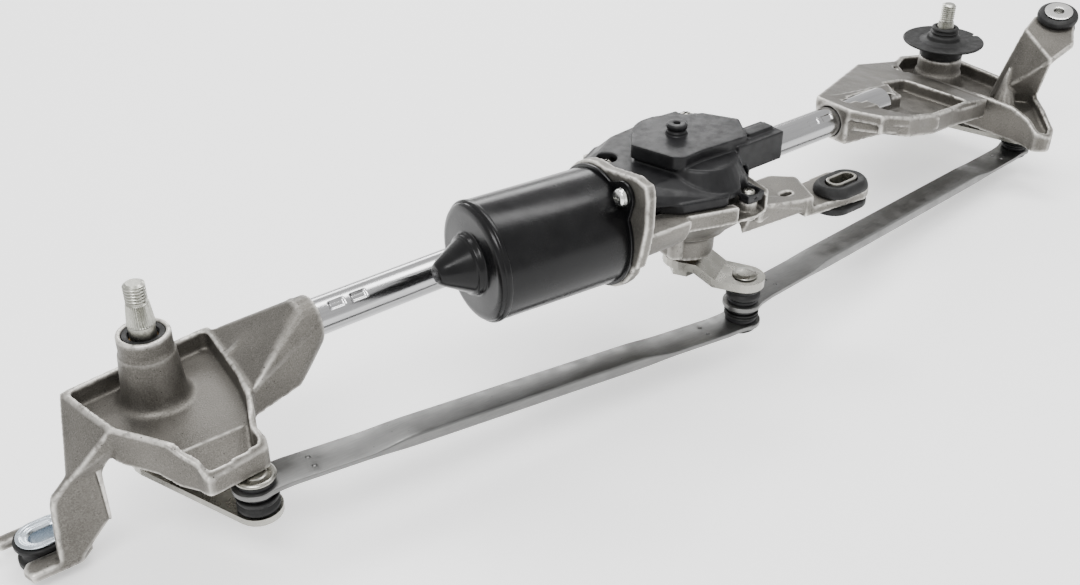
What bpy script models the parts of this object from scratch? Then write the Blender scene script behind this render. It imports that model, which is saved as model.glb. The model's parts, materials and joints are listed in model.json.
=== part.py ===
"""Windshield wiper assembly: motor, gear case, crank, two links and two pivots on one cross tube.

Datum, in millimetres: X runs along the cross tube, from the left pivot towards the right one,
+Y points to the rear of the car, and +Z runs along the pivot shafts towards the wiper arms.
The tube's axis is y = z = 0 and the left pivot is at x = 0. PLACED turns the datum into the
part's own frame, in metres, whose origin is the bolt seat under the centre foot.
"""

import math

import bmesh
import bpy
from mathutils import Matrix, Vector

MM = 0.001
GAP = 0.3  # between pieces that touch
CLEAN = 0.00001  # welding distance, metres

# Where the assembly is bolted down: the seat under the centre foot's sleeve.
CENTRE_FOOT = Vector((366.0, -78.0, -2.0))

# Cross tube
TUBE_RADIUS = 9.5
TUBE_WALL = 1.5
TUBE_START, TUBE_END = 68.0, 497.0

# Pivots, their levers and the ball joints at the levers' ends
LEFT_PIVOT = Vector((0.0, 12.2))
RIGHT_PIVOT = Vector((628.7, 47.7))
LEFT_BALL = Vector((16.9, -49.8))
RIGHT_BALL = Vector((642.6, -17.9))
LEFT_SHAFT_TOP, RIGHT_SHAFT_TOP = 43.7, 25.1
LEFT_LEVER_TOP, RIGHT_LEVER_TOP = -50.0, -57.4
SHAFT_RADIUS = 6.0
THREAD_RADIUS = 5.0  # M10
THREAD_PITCH = 1.5
LEVER_THICKNESS = 3.5

# Crank and links
OUTPUT = Vector((288.0, -38.0))
CRANK_THROW = 35.1
CRANK_ANGLE = math.radians(-60.5)
CRANK_DIRECTION = Vector((math.cos(CRANK_ANGLE), math.sin(CRANK_ANGLE)))
CRANK_BALL = OUTPUT + CRANK_THROW * CRANK_DIRECTION
CRANK_THICKNESS = 5.0
CRANK_TOP = -28.0  # at the ball; the inner end is JOGGLE higher
JOGGLE = 7.0
LEFT_LINK_AT_CRANK, LEFT_LINK_AT_LEVER = -57.0, -38.0
RIGHT_LINK_AT_CRANK, RIGHT_LINK_AT_LEVER = -45.0, -69.5
LINK_WIDTH = 19.0
LINK_THICKNESS = 2.6
BALL_RADIUS = 5.0
NECK_RADIUS = 3.2

# Motor: its axis passes through MOTOR_POINT, turned a little from the tube
MOTOR_POINT = Vector((250.0, -60.0, 31.8))
MOTOR_YAW = math.radians(-5.59)
CAN_RADIUS = 29.45
CAN_WALL = 2.0
CAN_REAR, CAN_FRONT = -113.5, -42.3
FLANGE_REAR, FLANGE_FRONT = -42.0, -36.5
WORM_RADIUS = 5.2
WHEEL_TEETH = 60
WHEEL_RADIUS = 20.1
WHEEL_BOTTOM, WHEEL_TOP = 27.8, 35.8

# Gear case
RIM_TOP, RIM_BOTTOM = 31.0, 22.0
CASE_BOTTOM = -5.0
BOSS_RADIUS, BOSS_BOTTOM = 16.0, -18.0

# Right foot's plate: the plane through RIGHT_FOOT with these rises per millimetre in x and in y
RIGHT_FOOT = Vector((675.0, -11.0, 20.0))
FOOT_RISE = (0.2734, 0.1788)
LEFT_FOOT = Vector((-61.0, 18.0))

for old in list(bpy.data.objects):
    bpy.data.objects.remove(old, do_unlink=True)
PARTS = bpy.data.collections.new("windshield_wiper_assembly")
bpy.context.scene.collection.children.link(PARTS)
PLACED = Matrix.Scale(MM, 4) @ Matrix.Translation(-CENTRE_FOOT)


# Materials


def material(name, colour, roughness, metallic=0.0):
    made = bpy.data.materials.new(name)
    made.use_nodes = True
    shader = made.node_tree.nodes["Principled BSDF"]
    shader.inputs["Base Color"].default_value = (*colour, 1.0)
    shader.inputs["Roughness"].default_value = roughness
    shader.inputs["Metallic"].default_value = metallic
    made.diffuse_color = (*colour, 1.0)
    return made


LOOKS = {
    "cast": ((0.42, 0.40, 0.36), 0.45, 0.9),
    "tube": ((0.70, 0.70, 0.70), 0.25, 1.0),
    "black_paint": ((0.012, 0.012, 0.013), 0.28, 0.0),
    "black_plastic": ((0.018, 0.018, 0.019), 0.42, 0.0),
    "rubber": ((0.015, 0.015, 0.015), 0.7, 0.0),
    "zinc": ((0.66, 0.66, 0.62), 0.35, 1.0),
    "steel": ((0.36, 0.36, 0.35), 0.4, 1.0),
    "bronze": ((0.50, 0.33, 0.16), 0.45, 1.0),
    "nylon": ((0.75, 0.73, 0.66), 0.5, 0.0),
    "copper": ((0.60, 0.30, 0.18), 0.4, 1.0),
    "magnet": ((0.10, 0.10, 0.10), 0.7, 0.0),
}


# Shapes. Every function takes datum millimetres and returns an object placed in the part's frame.


def from_bmesh(bm, frame=None):
    """A new object from bm, whose points are millimetres in frame, or in the datum if it is None."""
    bmesh.ops.transform(bm, matrix=PLACED @ (frame or Matrix()), verts=bm.verts)
    bmesh.ops.remove_doubles(bm, verts=bm.verts, dist=CLEAN)
    bmesh.ops.recalc_face_normals(bm, faces=bm.faces)
    mesh = bpy.data.meshes.new("shape")
    bm.to_mesh(mesh)
    bm.free()
    made = bpy.data.objects.new("shape", mesh)
    PARTS.objects.link(made)
    return made


def as_mesh(source, frame=None):
    """Turns a curve, or a mesh with modifiers, into a plain mesh placed in the part's frame."""
    bpy.context.view_layer.update()
    evaluated = source.evaluated_get(bpy.context.evaluated_depsgraph_get())
    mesh = bpy.data.meshes.new_from_object(evaluated)
    bm = bmesh.new()
    bm.from_mesh(mesh)
    bpy.data.meshes.remove(mesh)
    bpy.data.objects.remove(source, do_unlink=True)
    bmesh.ops.remove_doubles(bm, verts=bm.verts, dist=0.001)
    return from_bmesh(bm, frame)


def axes(origin, x_axis, y_axis):
    """The frame at origin with these two axes. Its Z is their cross product."""
    x_axis, y_axis = Vector(x_axis).normalized(), Vector(y_axis).normalized()
    made = Matrix((x_axis, y_axis, x_axis.cross(y_axis))).transposed().to_4x4()
    made.translation = origin
    return made


def box(low, high):
    low, high = Vector(low), Vector(high)
    bm = bmesh.new()
    placing = Matrix.Translation((low + high) / 2) @ Matrix.Diagonal((*(high - low), 1.0))
    bmesh.ops.create_cube(bm, size=1.0, matrix=placing)
    return from_bmesh(bm)


def cone(start, end, start_radius, end_radius=None, sides=24):
    """A cylinder from start to end, or a cone where the radii differ."""
    start, end = Vector(start), Vector(end)
    turn = (end - start).to_track_quat("Z", "Y").to_matrix().to_4x4()
    bm = bmesh.new()
    bmesh.ops.create_cone(
        bm,
        cap_ends=True,
        segments=sides,
        radius1=start_radius,
        radius2=start_radius if end_radius is None else end_radius,
        depth=(end - start).length,
        matrix=Matrix.Translation((start + end) / 2) @ turn,
    )
    return from_bmesh(bm)


def turned(profile, frame, closed=False, steps=16):
    """Turns (radius, height) points about the frame's Z. They run down the outer side."""
    mesh = bpy.data.meshes.new("profile")
    edges = [(i, i + 1) for i in range(len(profile) - 1)]
    if closed:
        edges.append((len(profile) - 1, 0))
    mesh.from_pydata([(radius, 0.0, height) for radius, height in profile], edges, [])
    guide = bpy.data.objects.new("profile", mesh)
    PARTS.objects.link(guide)
    screw = guide.modifiers.new("turn", "SCREW")
    screw.steps = screw.render_steps = steps
    screw.use_merge_vertices = True
    screw.merge_threshold = 0.0001
    return as_mesh(guide, frame)


def upright(x, y):
    return Matrix.Translation((x, y, 0.0))


def slab(outline, low, high, frame=None):
    """The flat outline in the frame's XY plane, filled from z = low to z = high."""
    curve = bpy.data.curves.new("outline", "CURVE")
    curve.dimensions = "2D"
    curve.fill_mode = "BOTH"
    curve.extrude = (high - low) / 2
    spline = curve.splines.new("POLY")
    spline.points.add(len(outline) - 1)
    for point, (x, y) in zip(spline.points, outline):
        point.co = (x, y, 0.0, 1.0)
    spline.use_cyclic_u = True
    guide = bpy.data.objects.new("outline", curve)
    PARTS.objects.link(guide)
    middle = Matrix.Translation((0.0, 0.0, (low + high) / 2))
    return as_mesh(guide, (frame or Matrix()) @ middle)


def hull(points):
    """The smallest convex solid around the points."""
    bm = bmesh.new()
    for point in points:
        bm.verts.new(point)
    found = bmesh.ops.convex_hull(bm, input=bm.verts)
    spare = {item for item in found["geom_interior"] + found["geom_unused"]}
    bmesh.ops.delete(bm, geom=[v for v in spare if isinstance(v, bmesh.types.BMVert)], context="VERTS")
    return from_bmesh(bm)


def combined(target, tools, operation):
    for tool in tools:
        change = target.modifiers.new("change", "BOOLEAN")
        change.operation = operation
        change.solver = "EXACT"
        change.object = tool
        bpy.context.view_layer.update()
        evaluated = target.evaluated_get(bpy.context.evaluated_depsgraph_get())
        mesh = bpy.data.meshes.new_from_object(evaluated)
        target.modifiers.clear()
        target.data = mesh
        bpy.data.objects.remove(tool, do_unlink=True)
    return target


def joined(target, *tools):
    return combined(target, tools, "UNION")


def cut(target, *tools):
    return combined(target, tools, "DIFFERENCE")


def shared(target, *tools):
    """What target and every tool have in common."""
    return combined(target, tools, "INTERSECT")


# Outlines


def arc(centre, radius, start_deg, end_deg, steps=8):
    angles = [math.radians(start_deg + (end_deg - start_deg) * i / steps) for i in range(steps + 1)]
    return [(centre[0] + radius * math.cos(a), centre[1] + radius * math.sin(a)) for a in angles]


def rounded(outline, radius, steps=2):
    """The outline with each corner rounded, by less where its sides are short."""
    made = []
    for i, corner in enumerate(outline):
        here = Vector(corner)
        back = Vector(outline[i - 1]) - here
        ahead = Vector(outline[(i + 1) % len(outline)]) - here
        angle = back.angle(ahead)
        reach = min(radius / math.tan(angle / 2), 0.45 * back.length, 0.45 * ahead.length)
        if math.pi - angle < 0.05:
            made.append(corner)
            continue
        first, last = here + back.normalized() * reach, here + ahead.normalized() * reach
        for k in range(steps + 1):
            t = k / steps
            made.append(tuple((1 - t) ** 2 * first + 2 * t * (1 - t) * here + t**2 * last))
    return made


def inset(outline, distance):
    """The outline moved inwards by distance. Its points run anticlockwise."""
    made = []
    for i, corner in enumerate(outline):
        here = Vector(corner)
        back = (here - Vector(outline[i - 1])).normalized()
        ahead = (Vector(outline[(i + 1) % len(outline)]) - here).normalized()
        inward = Vector((-back.y - ahead.y, back.x + ahead.x))
        length = inward.length_squared / 2
        made.append(tuple(here + inward * distance / max(length, 0.5)))
    return made


def tapered_bar(start, end, start_half, end_half, steps=10):
    """The outline around two circles and the straight sides between them."""
    along = (Vector(end) - Vector(start)).normalized()
    heading = math.degrees(math.atan2(along.y, along.x))
    lean = math.degrees(math.asin((start_half - end_half) / (Vector(end) - Vector(start)).length))
    near = arc(start, start_half, heading + 90 - lean, heading + 270 + lean, steps)
    far = arc(end, end_half, heading - 90 + lean, heading + 90 - lean, steps)
    return near + far


def ring(outer, inner, low, high):
    """The profile of a plain ring."""
    return [(outer, high), (outer, low), (inner, low), (inner, high)]


def oval(centre, half_length, half_width, steps=8):
    """A slot's outline, long along X."""
    reach = half_length - half_width
    right = arc((centre[0] + reach, centre[1]), half_width, -90, 90, steps)
    left = arc((centre[0] - reach, centre[1]), half_width, 90, 270, steps)
    return right + left


def lean(target, height):
    """Raises each point by height(x, y), which is in datum millimetres."""
    for vertex in target.data.vertices:
        x, y = vertex.co.x / MM + CENTRE_FOOT.x, vertex.co.y / MM + CENTRE_FOOT.y
        vertex.co.z += height(x, y) * MM
    return target


SIDE = axes((0, 0, 0), (1, 0, 0), (0, 0, 1))  # (x, z) outlines; the slab's height is minus y
ACROSS = axes((0, 0, 0), (0, 1, 0), (0, 0, 1))  # (y, z) outlines; the slab's height is x
MOTOR = axes(
    MOTOR_POINT,
    (-math.sin(MOTOR_YAW), math.cos(MOTOR_YAW), 0),
    (0, 0, 1),
)  # X points to the gear wheel, Y up and Z along the motor from the can to the worm


# Pieces


def merge_flats(mesh):
    """Merges neighbouring faces in one plane, unless that would leave an edge with more than two."""
    bm = bmesh.new()
    bm.from_mesh(mesh)
    bmesh.ops.dissolve_limit(bm, angle_limit=math.radians(0.2), verts=bm.verts, edges=bm.edges)
    bmesh.ops.triangulate(bm, faces=bm.faces, quad_method="FIXED", ngon_method="EAR_CLIP")
    if all(edge.is_manifold for edge in bm.edges):
        bm.to_mesh(mesh)
    bm.free()


def finished(name, made, look):
    """Names a piece, gives it its own material and shades its round faces smooth."""
    merge_flats(made.data)
    made.name = name
    made.data.name = name
    made.data.materials.clear()
    made.data.materials.append(material(name, *LOOKS[look]))
    made.data.shade_smooth()
    made.data.set_sharp_from_angle(angle=math.radians(35))
    return made


def tray(outline, radius, wall, top, floor, under, bottom):
    """A walled tray. Its four lines are (y, z) points from rear to front: the edge of its walls, the two

    faces of its floor, and the lower edge of its walls.
    """
    inner = rounded(inset(outline, wall), radius)
    body = shared(slab(rounded(outline, radius), -80, 20), slab(top + bottom[::-1], -100, 720, ACROSS))
    above = slab(floor + [(floor[-1][0], 40), (floor[0][0], 40)], -100, 720, ACROSS)
    body = cut(body, shared(slab(inner, -90, 30), above))
    below = slab(under + [(under[-1][0], -95), (under[0][0], -95)], -100, 720, ACROSS)
    return cut(body, shared(slab(inner, -90, 30), below))


def left_housing():
    outline = [
        (-38, 28), (-34, 6), (-30, -13), (-21, -27), (-12, -42), (-8, -48),
        (-6, -55), (26, -52), (24, -43), (31, -26), (35, -9), (40, 38),
    ]  # fmt: skip
    rim = [(60, -8), (-37, -8), (-42, -12), (-48, -15), (-60, -26)]
    floor = [(61, -18), (-33, -18), (-45, -27), (-61, -28)]
    under = [(61, -21.5), (-32, -21.5), (-44, -30.2), (-61, -30.4)]
    bottom = [(60, -25), (-30, -27), (-40, -30.8), (-60, -30.8)]
    body = tray(outline, 3.0, 3.0, rim, floor, under, bottom)
    # Arm from the tray up to the round socket for the tube
    mouth, socket_radius = 77.0, 12.5
    circle = [(x, y, z) for x in (TUBE_START, mouth) for y, z in arc((0, 0), socket_radius, 0, 360, 24)]
    shoulder = [(38, 34, -9), (31, -24, -10), (38, 34, -24), (31, -24, -24), (64, 21, -4), (64, 19, -12)]
    lug = [(58, -19, -14), (58, -19, -21), (68, -12, -14), (68, -11, -19)]
    body = joined(body, hull(circle + shoulder + lug))
    # Boss around the pivot shaft, with a machined band at its top, and its sleeve below the tray
    x, y = LEFT_PIVOT
    boss = [
        (0, 18.2), (11.8, 18.2), (12.4, 17.6), (12.4, 8.5), (13.1, 8.0), (14.9, -13.5), (15.7, -16.2),
        (18.2, -18.2), (18.2, -20), (13.5, -21), (13.0, -44), (0, -44),
    ]  # fmt: skip
    body = joined(body, turned(boss, upright(x, y), steps=32))
    # Web down to the leg, the leg itself and the fork around the grommet
    web = [(-38, 28, -8.5), (-34, 6, -8), (-30, -13, -8), (-33, 28, -14), (-26, -13, -16), (-30, 6, -20)]
    knee = [(-50, -3, -34), (-35.5, -3, -36), (-50, 1.5, -34), (-35.5, 1.5, -36)]
    body = joined(body, hull(web + knee))
    leg = [
        (-35.5, -30), (-35.5, -36), (-36, -63), (-51, -78), (-54, -81), (-73, -81), (-62, -76.5),
        (-59.5, -45), (-58, -40), (-50, -33),
    ]  # fmt: skip
    body = joined(body, slab(leg[::-1], -1.5, 3.0, SIDE))
    prongs = [(-45, 3), (-45, 30), (-50, 34), (-80, 34), (-82, 31), (-80, 27)]
    notch = arc((LEFT_FOOT.x + 2.7, 17.5), 9.5, 90, -90, 8)
    tips = [(-74, 8), (-77, 4), (-75, -3), (-52, -3)]
    body = joined(body, slab((prongs + notch + tips)[::-1], -81, -76))
    # Bores for the tube, the pivot bush and the seal
    body = cut(body, cone((TUBE_START - GAP, 0, 0), (mouth + 5, 0, 0), TUBE_RADIUS + GAP, sides=32))
    bore = [(0, 30), (10.0, 30), (10.0, 14.2), (8.3, 14.2), (8.3, -50), (0, -50)]
    body = cut(body, turned(bore, upright(x, y), steps=32))
    return finished("left_housing", body, "cast")


def right_plate_height(x, y):
    """Height of the right arm's sloping top face."""
    return 15.0 - 0.2375 * (x - 440.0)


def right_housing():
    arm = [
        (447, -15), (454, -22), (462, -29), (486, -34), (516, -32), (547, -23), (575, -14), (612, -8),
        (618, 20), (604, 56), (599, 57), (600, 66), (606, 71), (618, 74), (630, 84), (570, 77), (447, 12),
    ]  # fmt: skip
    body = lean(slab(rounded(arm, 3.0), -7.0, 0.0), right_plate_height)
    # Deeper rib along the front, which the pocket is sunk into, and the block around the tube
    rib = [(447, -15), (486, -34), (516, -32), (547, -23), (612, -8)]
    rib += [(617, 20), (575, 47), (530, 8), (475, 2)]
    body = joined(body, lean(slab(rounded(rib, 3.0), -14.0, -2.0), right_plate_height))
    mouth = 447.0
    block = [(mouth, -15), (mouth, 11.5), (520, 11.5), (500, -13)]
    body = joined(body, lean(slab(block[::-1], -26.0, -3.0), lambda px, py: 15.0 - 0.12 * (px - mouth)))
    pocket = [(476, -7), (478, -13), (490, -29), (516, -28), (548, -19)]
    pocket += [(585, -8), (577, 40), (545, 34), (530, 6)]
    sink = lean(slab(rounded(pocket, 5.0), -9.0, 5.0), right_plate_height)
    body = cut(body, sink)
    # Tray under the right pivot
    outline = [
        (599, 57), (612, 27), (619, -7), (622, -22), (621, -36), (617, -46), (624, -55), (636, -49),
        (655, -19), (660, 18), (662, 51), (650, 74), (630, 84), (612, 76),
    ]  # fmt: skip
    rim = [(90, -26), (0, -28), (-20, -30), (-34, -34), (-46, -40), (-60, -45)]
    floor = [(91, -37), (-25, -37), (-40, -43), (-61, -48.5)]
    under = [(91, -41), (-25, -41), (-40, -48), (-61, -52)]
    bottom = [(90, -45), (-20, -55), (-60, -54)]
    body = joined(body, tray(outline, 4.0, 4.0, rim, floor, under, bottom))
    x, y = RIGHT_PIVOT
    boss = [
        (0, -14), (15.0, -14), (15.5, -14.6), (15.5, -24.2), (16.4, -25.2), (18.0, -33), (19.2, -36),
        (21.5, -38), (21.5, -40), (15, -41), (14.0, -52), (0, -52),
    ]  # fmt: skip
    body = joined(body, turned(boss, upright(x, y), steps=32))
    # Strap up to the right foot, its gusset and the tilted plate around the grommet
    strap_base = [(635, 6, -36), (655, -19, -36), (638.5, 8.5, -36), (658.5, -16.5, -36)]
    fold = [(652, -1, 15.6), (637, -34.5, 5.0), (652, -1, 11.4), (639, -34.5, 1.0)]
    body = joined(body, hull(strap_base + fold))
    body = joined(body, hull([(640, -3, -9), *[(px, py, -38) for px, py in arc((636, -7), 9, 0, 360, 12)]]))
    centre = RIGHT_FOOT.xy
    plate = [(652, -1), (666, 2), *arc(centre, 12.5, 75, -75, 8), (662, -35), (637, -34.5)]
    body = joined(body, lean(slab(plate[::-1], -4.0, 0.0), foot_height))
    body = cut(body, foot_cone(8.3, -20, 20))
    body = cut(body, cone((mouth - 5, 0, 0), (TUBE_END + GAP, 0, 0), TUBE_RADIUS + GAP, sides=32))
    body = cut(body, cone((x, y, -60), (x, y, 0), 8.3, sides=24))
    return finished("right_housing", body, "cast")


def foot_height(x, y):
    """Height of the right foot's plate."""
    return RIGHT_FOOT.z + FOOT_RISE[0] * (x - RIGHT_FOOT.x) + FOOT_RISE[1] * (y - RIGHT_FOOT.y)


def foot_axes():
    """The frame at the right foot, with Z square to its plate."""
    along, across = FOOT_RISE
    return axes(RIGHT_FOOT, (1, 0, along), (-along * across, 1 + along**2, across))


def foot_cone(radius, low, high):
    return turned([(0, high), (radius, high), (radius, low), (0, low)], foot_axes())


def cross_tube():
    body = cone((TUBE_START, 0, 0), (TUBE_END, 0, 0), TUBE_RADIUS, sides=32)
    body = cut(body, cone((TUBE_START - 5, 0, 0), (TUBE_END + 5, 0, 0), TUBE_RADIUS - TUBE_WALL, sides=32))
    # Staking marks beside each socket: short notches pressed in on the upper front of the tube
    for first in (84.0, 422.0):
        for step in (0.0, 12.0):
            lean_forward = Matrix.Rotation(math.radians(38), 4, "X")
            mark = lean_forward @ Matrix.Translation((first + step, 0, TUBE_RADIUS))
            notch = slab(oval((4.0, 0.0), 4.0, 1.6, 3), -0.6, 1.5, mark)
            body = cut(body, notch)
    return finished("cross_tube", body, "tube")


CASE_FRONT = [(214, -60), (234, -64), (247, -77), (275, -86), (288, -88), (297, -86), (303, -81), (306, -64)]
CASE_REAR = [(326, -46), (328, 0), (320, 9), (310, 13), (297, 10), (282, 6), (255, 6), (238, -3), (215, -32)]


def gear_housing():
    outline = rounded(CASE_FRONT + CASE_REAR, 3.0)
    body = slab(outline, RIM_BOTTOM, RIM_TOP)
    lower = inset(CASE_FRONT + CASE_REAR, 2.0)
    x, y = OUTPUT
    # Below the rim the case draws in from its outline to a bowl around the output boss
    bowl = [(px, py, 2.0) for px, py in arc(OUTPUT, 25.0, 0, 360, 24)]
    body = joined(body, hull([(px, py, RIM_BOTTOM + 1) for px, py in lower[:8] + lower[-1:]] + bowl))
    body = joined(body, hull([(px, py, RIM_BOTTOM + 1) for px, py in lower[8:]] + bowl))
    neck = [(0, 3), (25, 3), (22, -2), (17.5, CASE_BOTTOM), (BOSS_RADIUS, -6)]
    neck += [(15.6, BOSS_BOTTOM), (0, BOSS_BOTTOM)]
    body = joined(body, turned(neck, upright(x, y), steps=32))
    # Barrel behind the motor flange, around the worm shaft
    barrel = [(0, 0), (22, 0), (24, FLANGE_REAR + 4), (0, FLANGE_REAR + 4)]
    body = joined(body, turned(barrel, MOTOR, steps=32))
    body = joined(body, cone((268, -51, 8), (268, -51, -11), 4.3, sides=20))
    body = cut(body, box((150, -150, RIM_TOP), (400, 100, 120)))
    # Chamber under the wheel, around the hub that carries the output bush
    chamber = inset(CASE_FRONT + CASE_REAR, 5.5)
    body = cut(body, slab(rounded(chamber, 4.0), 25, 40))
    body = cut(body, cone((x, y, 5), (x, y, 40), 22.0))
    body = joined(body, cone((x, y, 0), (x, y, 27), 9.5))
    # Motor flange: two ears, point symmetric about the motor's axis
    ear = [(-4, 32), (-28, 37), (-37, 36), (-39, 30), (-39, 15), (-36, 0), (-33, -10)]
    half = arc((0, 0), 32.5, -162, -97, 6)
    plate = ear + half
    plate = rounded(plate + [(-px, -py) for px, py in plate], 3.0, 2)
    body = joined(body, slab(plate, FLANGE_REAR, FLANGE_FRONT, MOTOR))
    collar = [(0, -26.5), (9.0, -26.5), (9.0, -38), (0, -38)]
    body = joined(body, turned(collar, MOTOR, steps=20))
    # Foot arm: a raised plate, then a strap one step lower
    plate = [(300, -48), (338, -50), (349, -60), (338, -84), (314, -76), (300, -80)]
    body = joined(body, slab(rounded(plate, 2.0)[::-1], 10.5, 16))
    web = [(298, -78, 21), (298, -60, 20), (298, -70, 1), (314, -75.2, 15), (314, -74.2, 5.5), (316, -56, 12)]
    web += [(337.5, -83.2, 15), (337.5, -83.2, 8.5), (335, -78, 15), (335, -78, 8.5)]
    body = joined(body, hull(web))
    foot = CENTRE_FOOT.xy
    strap = [(333, -57), (346, -60), *arc((foot.x + 6, foot.y + 4), 15.0, 80, -80, 8), (339, -84), (333, -82)]
    body = joined(body, slab(strap[::-1], 4.5, 10))
    step = [(333, -57, 16), (333, -83, 16), (340, -58, 9), (340, -84, 9), (333, -57, 5), (333, -83, 5)]
    body = joined(body, hull(step))
    body = cut(body, slab(oval(foot, 12.0, 6.5), 0, 20))
    body = cut(body, slab(oval((329, -71), 4.0, 2.0, 4), 5, 20))
    # Saddle over the tube, clamped from below
    body = joined(body, box((262, -15, 1), (306, 21, RIM_BOTTOM + 2)))
    body = cut(body, cone((255, 0, 0), (312, 0, 0), TUBE_RADIUS + GAP, sides=32))
    # Notch in the rim for the front cover screw, then the bores
    notch = [(276, -95), (294, -95), (299, -76.5), (277, -76.5)]
    body = cut(body, slab(notch, 23, 40))
    body = joined(body, cone((290, -79, 18), (290, -79, 28.5), 5.0, sides=20))
    worm_bore = [(0, 51), (6.9, 51), (6.9, -24), (6.3, -24), (6.3, -50), (0, -50)]
    body = cut(body, turned(worm_bore, MOTOR, steps=18))
    body = cut(body, cone((x, y, -30), (x, y, 40), 7.9, sides=28))
    for px, py in MOTOR_SCREWS:
        hole = [(0, -30), (2.6, -30), (2.6, -50), (0, -50)]
        body = cut(body, turned(hole, MOTOR @ Matrix.Translation((px, py, 0)), steps=20))
    for px, py in COVER_SCREWS:
        body = cut(body, cone((px, py, 20), (px, py, 45), 1.8, sides=16))
    for px in CLAMP_SCREWS:
        body = cut(body, cone((px, CLAMP_SCREW_Y, -5), (px, CLAMP_SCREW_Y, 16), 2.3, sides=16))
    return finished("gear_housing", body, "cast")


MOTOR_SCREWS = ((-22.8, 25.8), (22.8, -25.8))
COVER_SCREWS = ((243, -21), (318, -2), (290, -79))
CLAMP_SCREWS = (270.0, 298.0)
CLAMP_SCREW_Y = 16.6


def tube_clamp():
    """Strap under the tube, hung from the saddle by two screws along its rear edge."""
    shell = arc((0, 0), TUBE_RADIUS + 3.0, 180, 360, 12)
    inner = arc((0, 0), TUBE_RADIUS + GAP, 360, 180, 12)
    lip = [(12.3, -2.3), (21.0, -2.3), (21.0, 0.7), (9.8, 0.7)]
    outline = [(-12.5, 0.7)] + shell[:-2] + lip + inner[1:-1] + [(-9.8, 0.7)]
    body = slab(outline, 263, 305, ACROSS)
    for px in CLAMP_SCREWS:
        body = cut(body, cone((px, CLAMP_SCREW_Y, -5), (px, CLAMP_SCREW_Y, 3), 2.3, sides=16))
    return finished("tube_clamp", body, "zinc")


def screw(name, frame, head_radius, shank_radius, length, washer):
    """A pan-head screw with a washer under its head, a cross recess and its shank along -Z."""
    head = [
        (0, 3.8), (head_radius * 0.7, 3.5), (head_radius, 2.0), (head_radius, 0.9),
        (washer, 0.9), (washer, 0), (shank_radius, 0), (shank_radius, -length), (0, -length),
    ]  # fmt: skip
    body = turned(head, frame, steps=10)
    blade = [(-2.3, -0.45), (-0.45, -0.45), (-0.45, -2.3), (0.45, -2.3), (0.45, -0.45), (2.3, -0.45)]
    blade += [(-px, -py) for px, py in blade]
    body = cut(body, slab(blade, 2.2, 6.0, frame @ Matrix.Rotation(0.2, 4, "Z")))
    return finished(name, body, "zinc")


def screws():
    made = []
    down = axes((0, 0, 0), (1, 0, 0), (0, -1, 0))  # Z towards -Z
    for name, (px, py) in zip(("motor_screw_rear", "motor_screw_front"), MOTOR_SCREWS):
        frame = MOTOR @ Matrix.Translation((px, py, CAN_FRONT - 1.8 - GAP)) @ down
        made.append(screw(name, frame, 4.2, 1.9, 6.5, 4.6))
    heights = (38.5, 38.5, 30.6)
    lengths = (9.5, 9.5, 9.0)
    for name, place, height, length in zip(("left", "rear", "front"), COVER_SCREWS, heights, lengths):
        frame = upright(*place) @ Matrix.Translation((0, 0, height))
        made.append(screw(f"cover_screw_{name}", frame, 3.6, 1.5, length, 4.3))
    for name, px in zip(("left", "right"), CLAMP_SCREWS):
        frame = upright(px, CLAMP_SCREW_Y) @ Matrix.Translation((0, 0, -2.6)) @ down
        made.append(screw(f"clamp_screw_{name}", frame, 3.6, 1.9, 14.0, 3.2))
    return made


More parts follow.
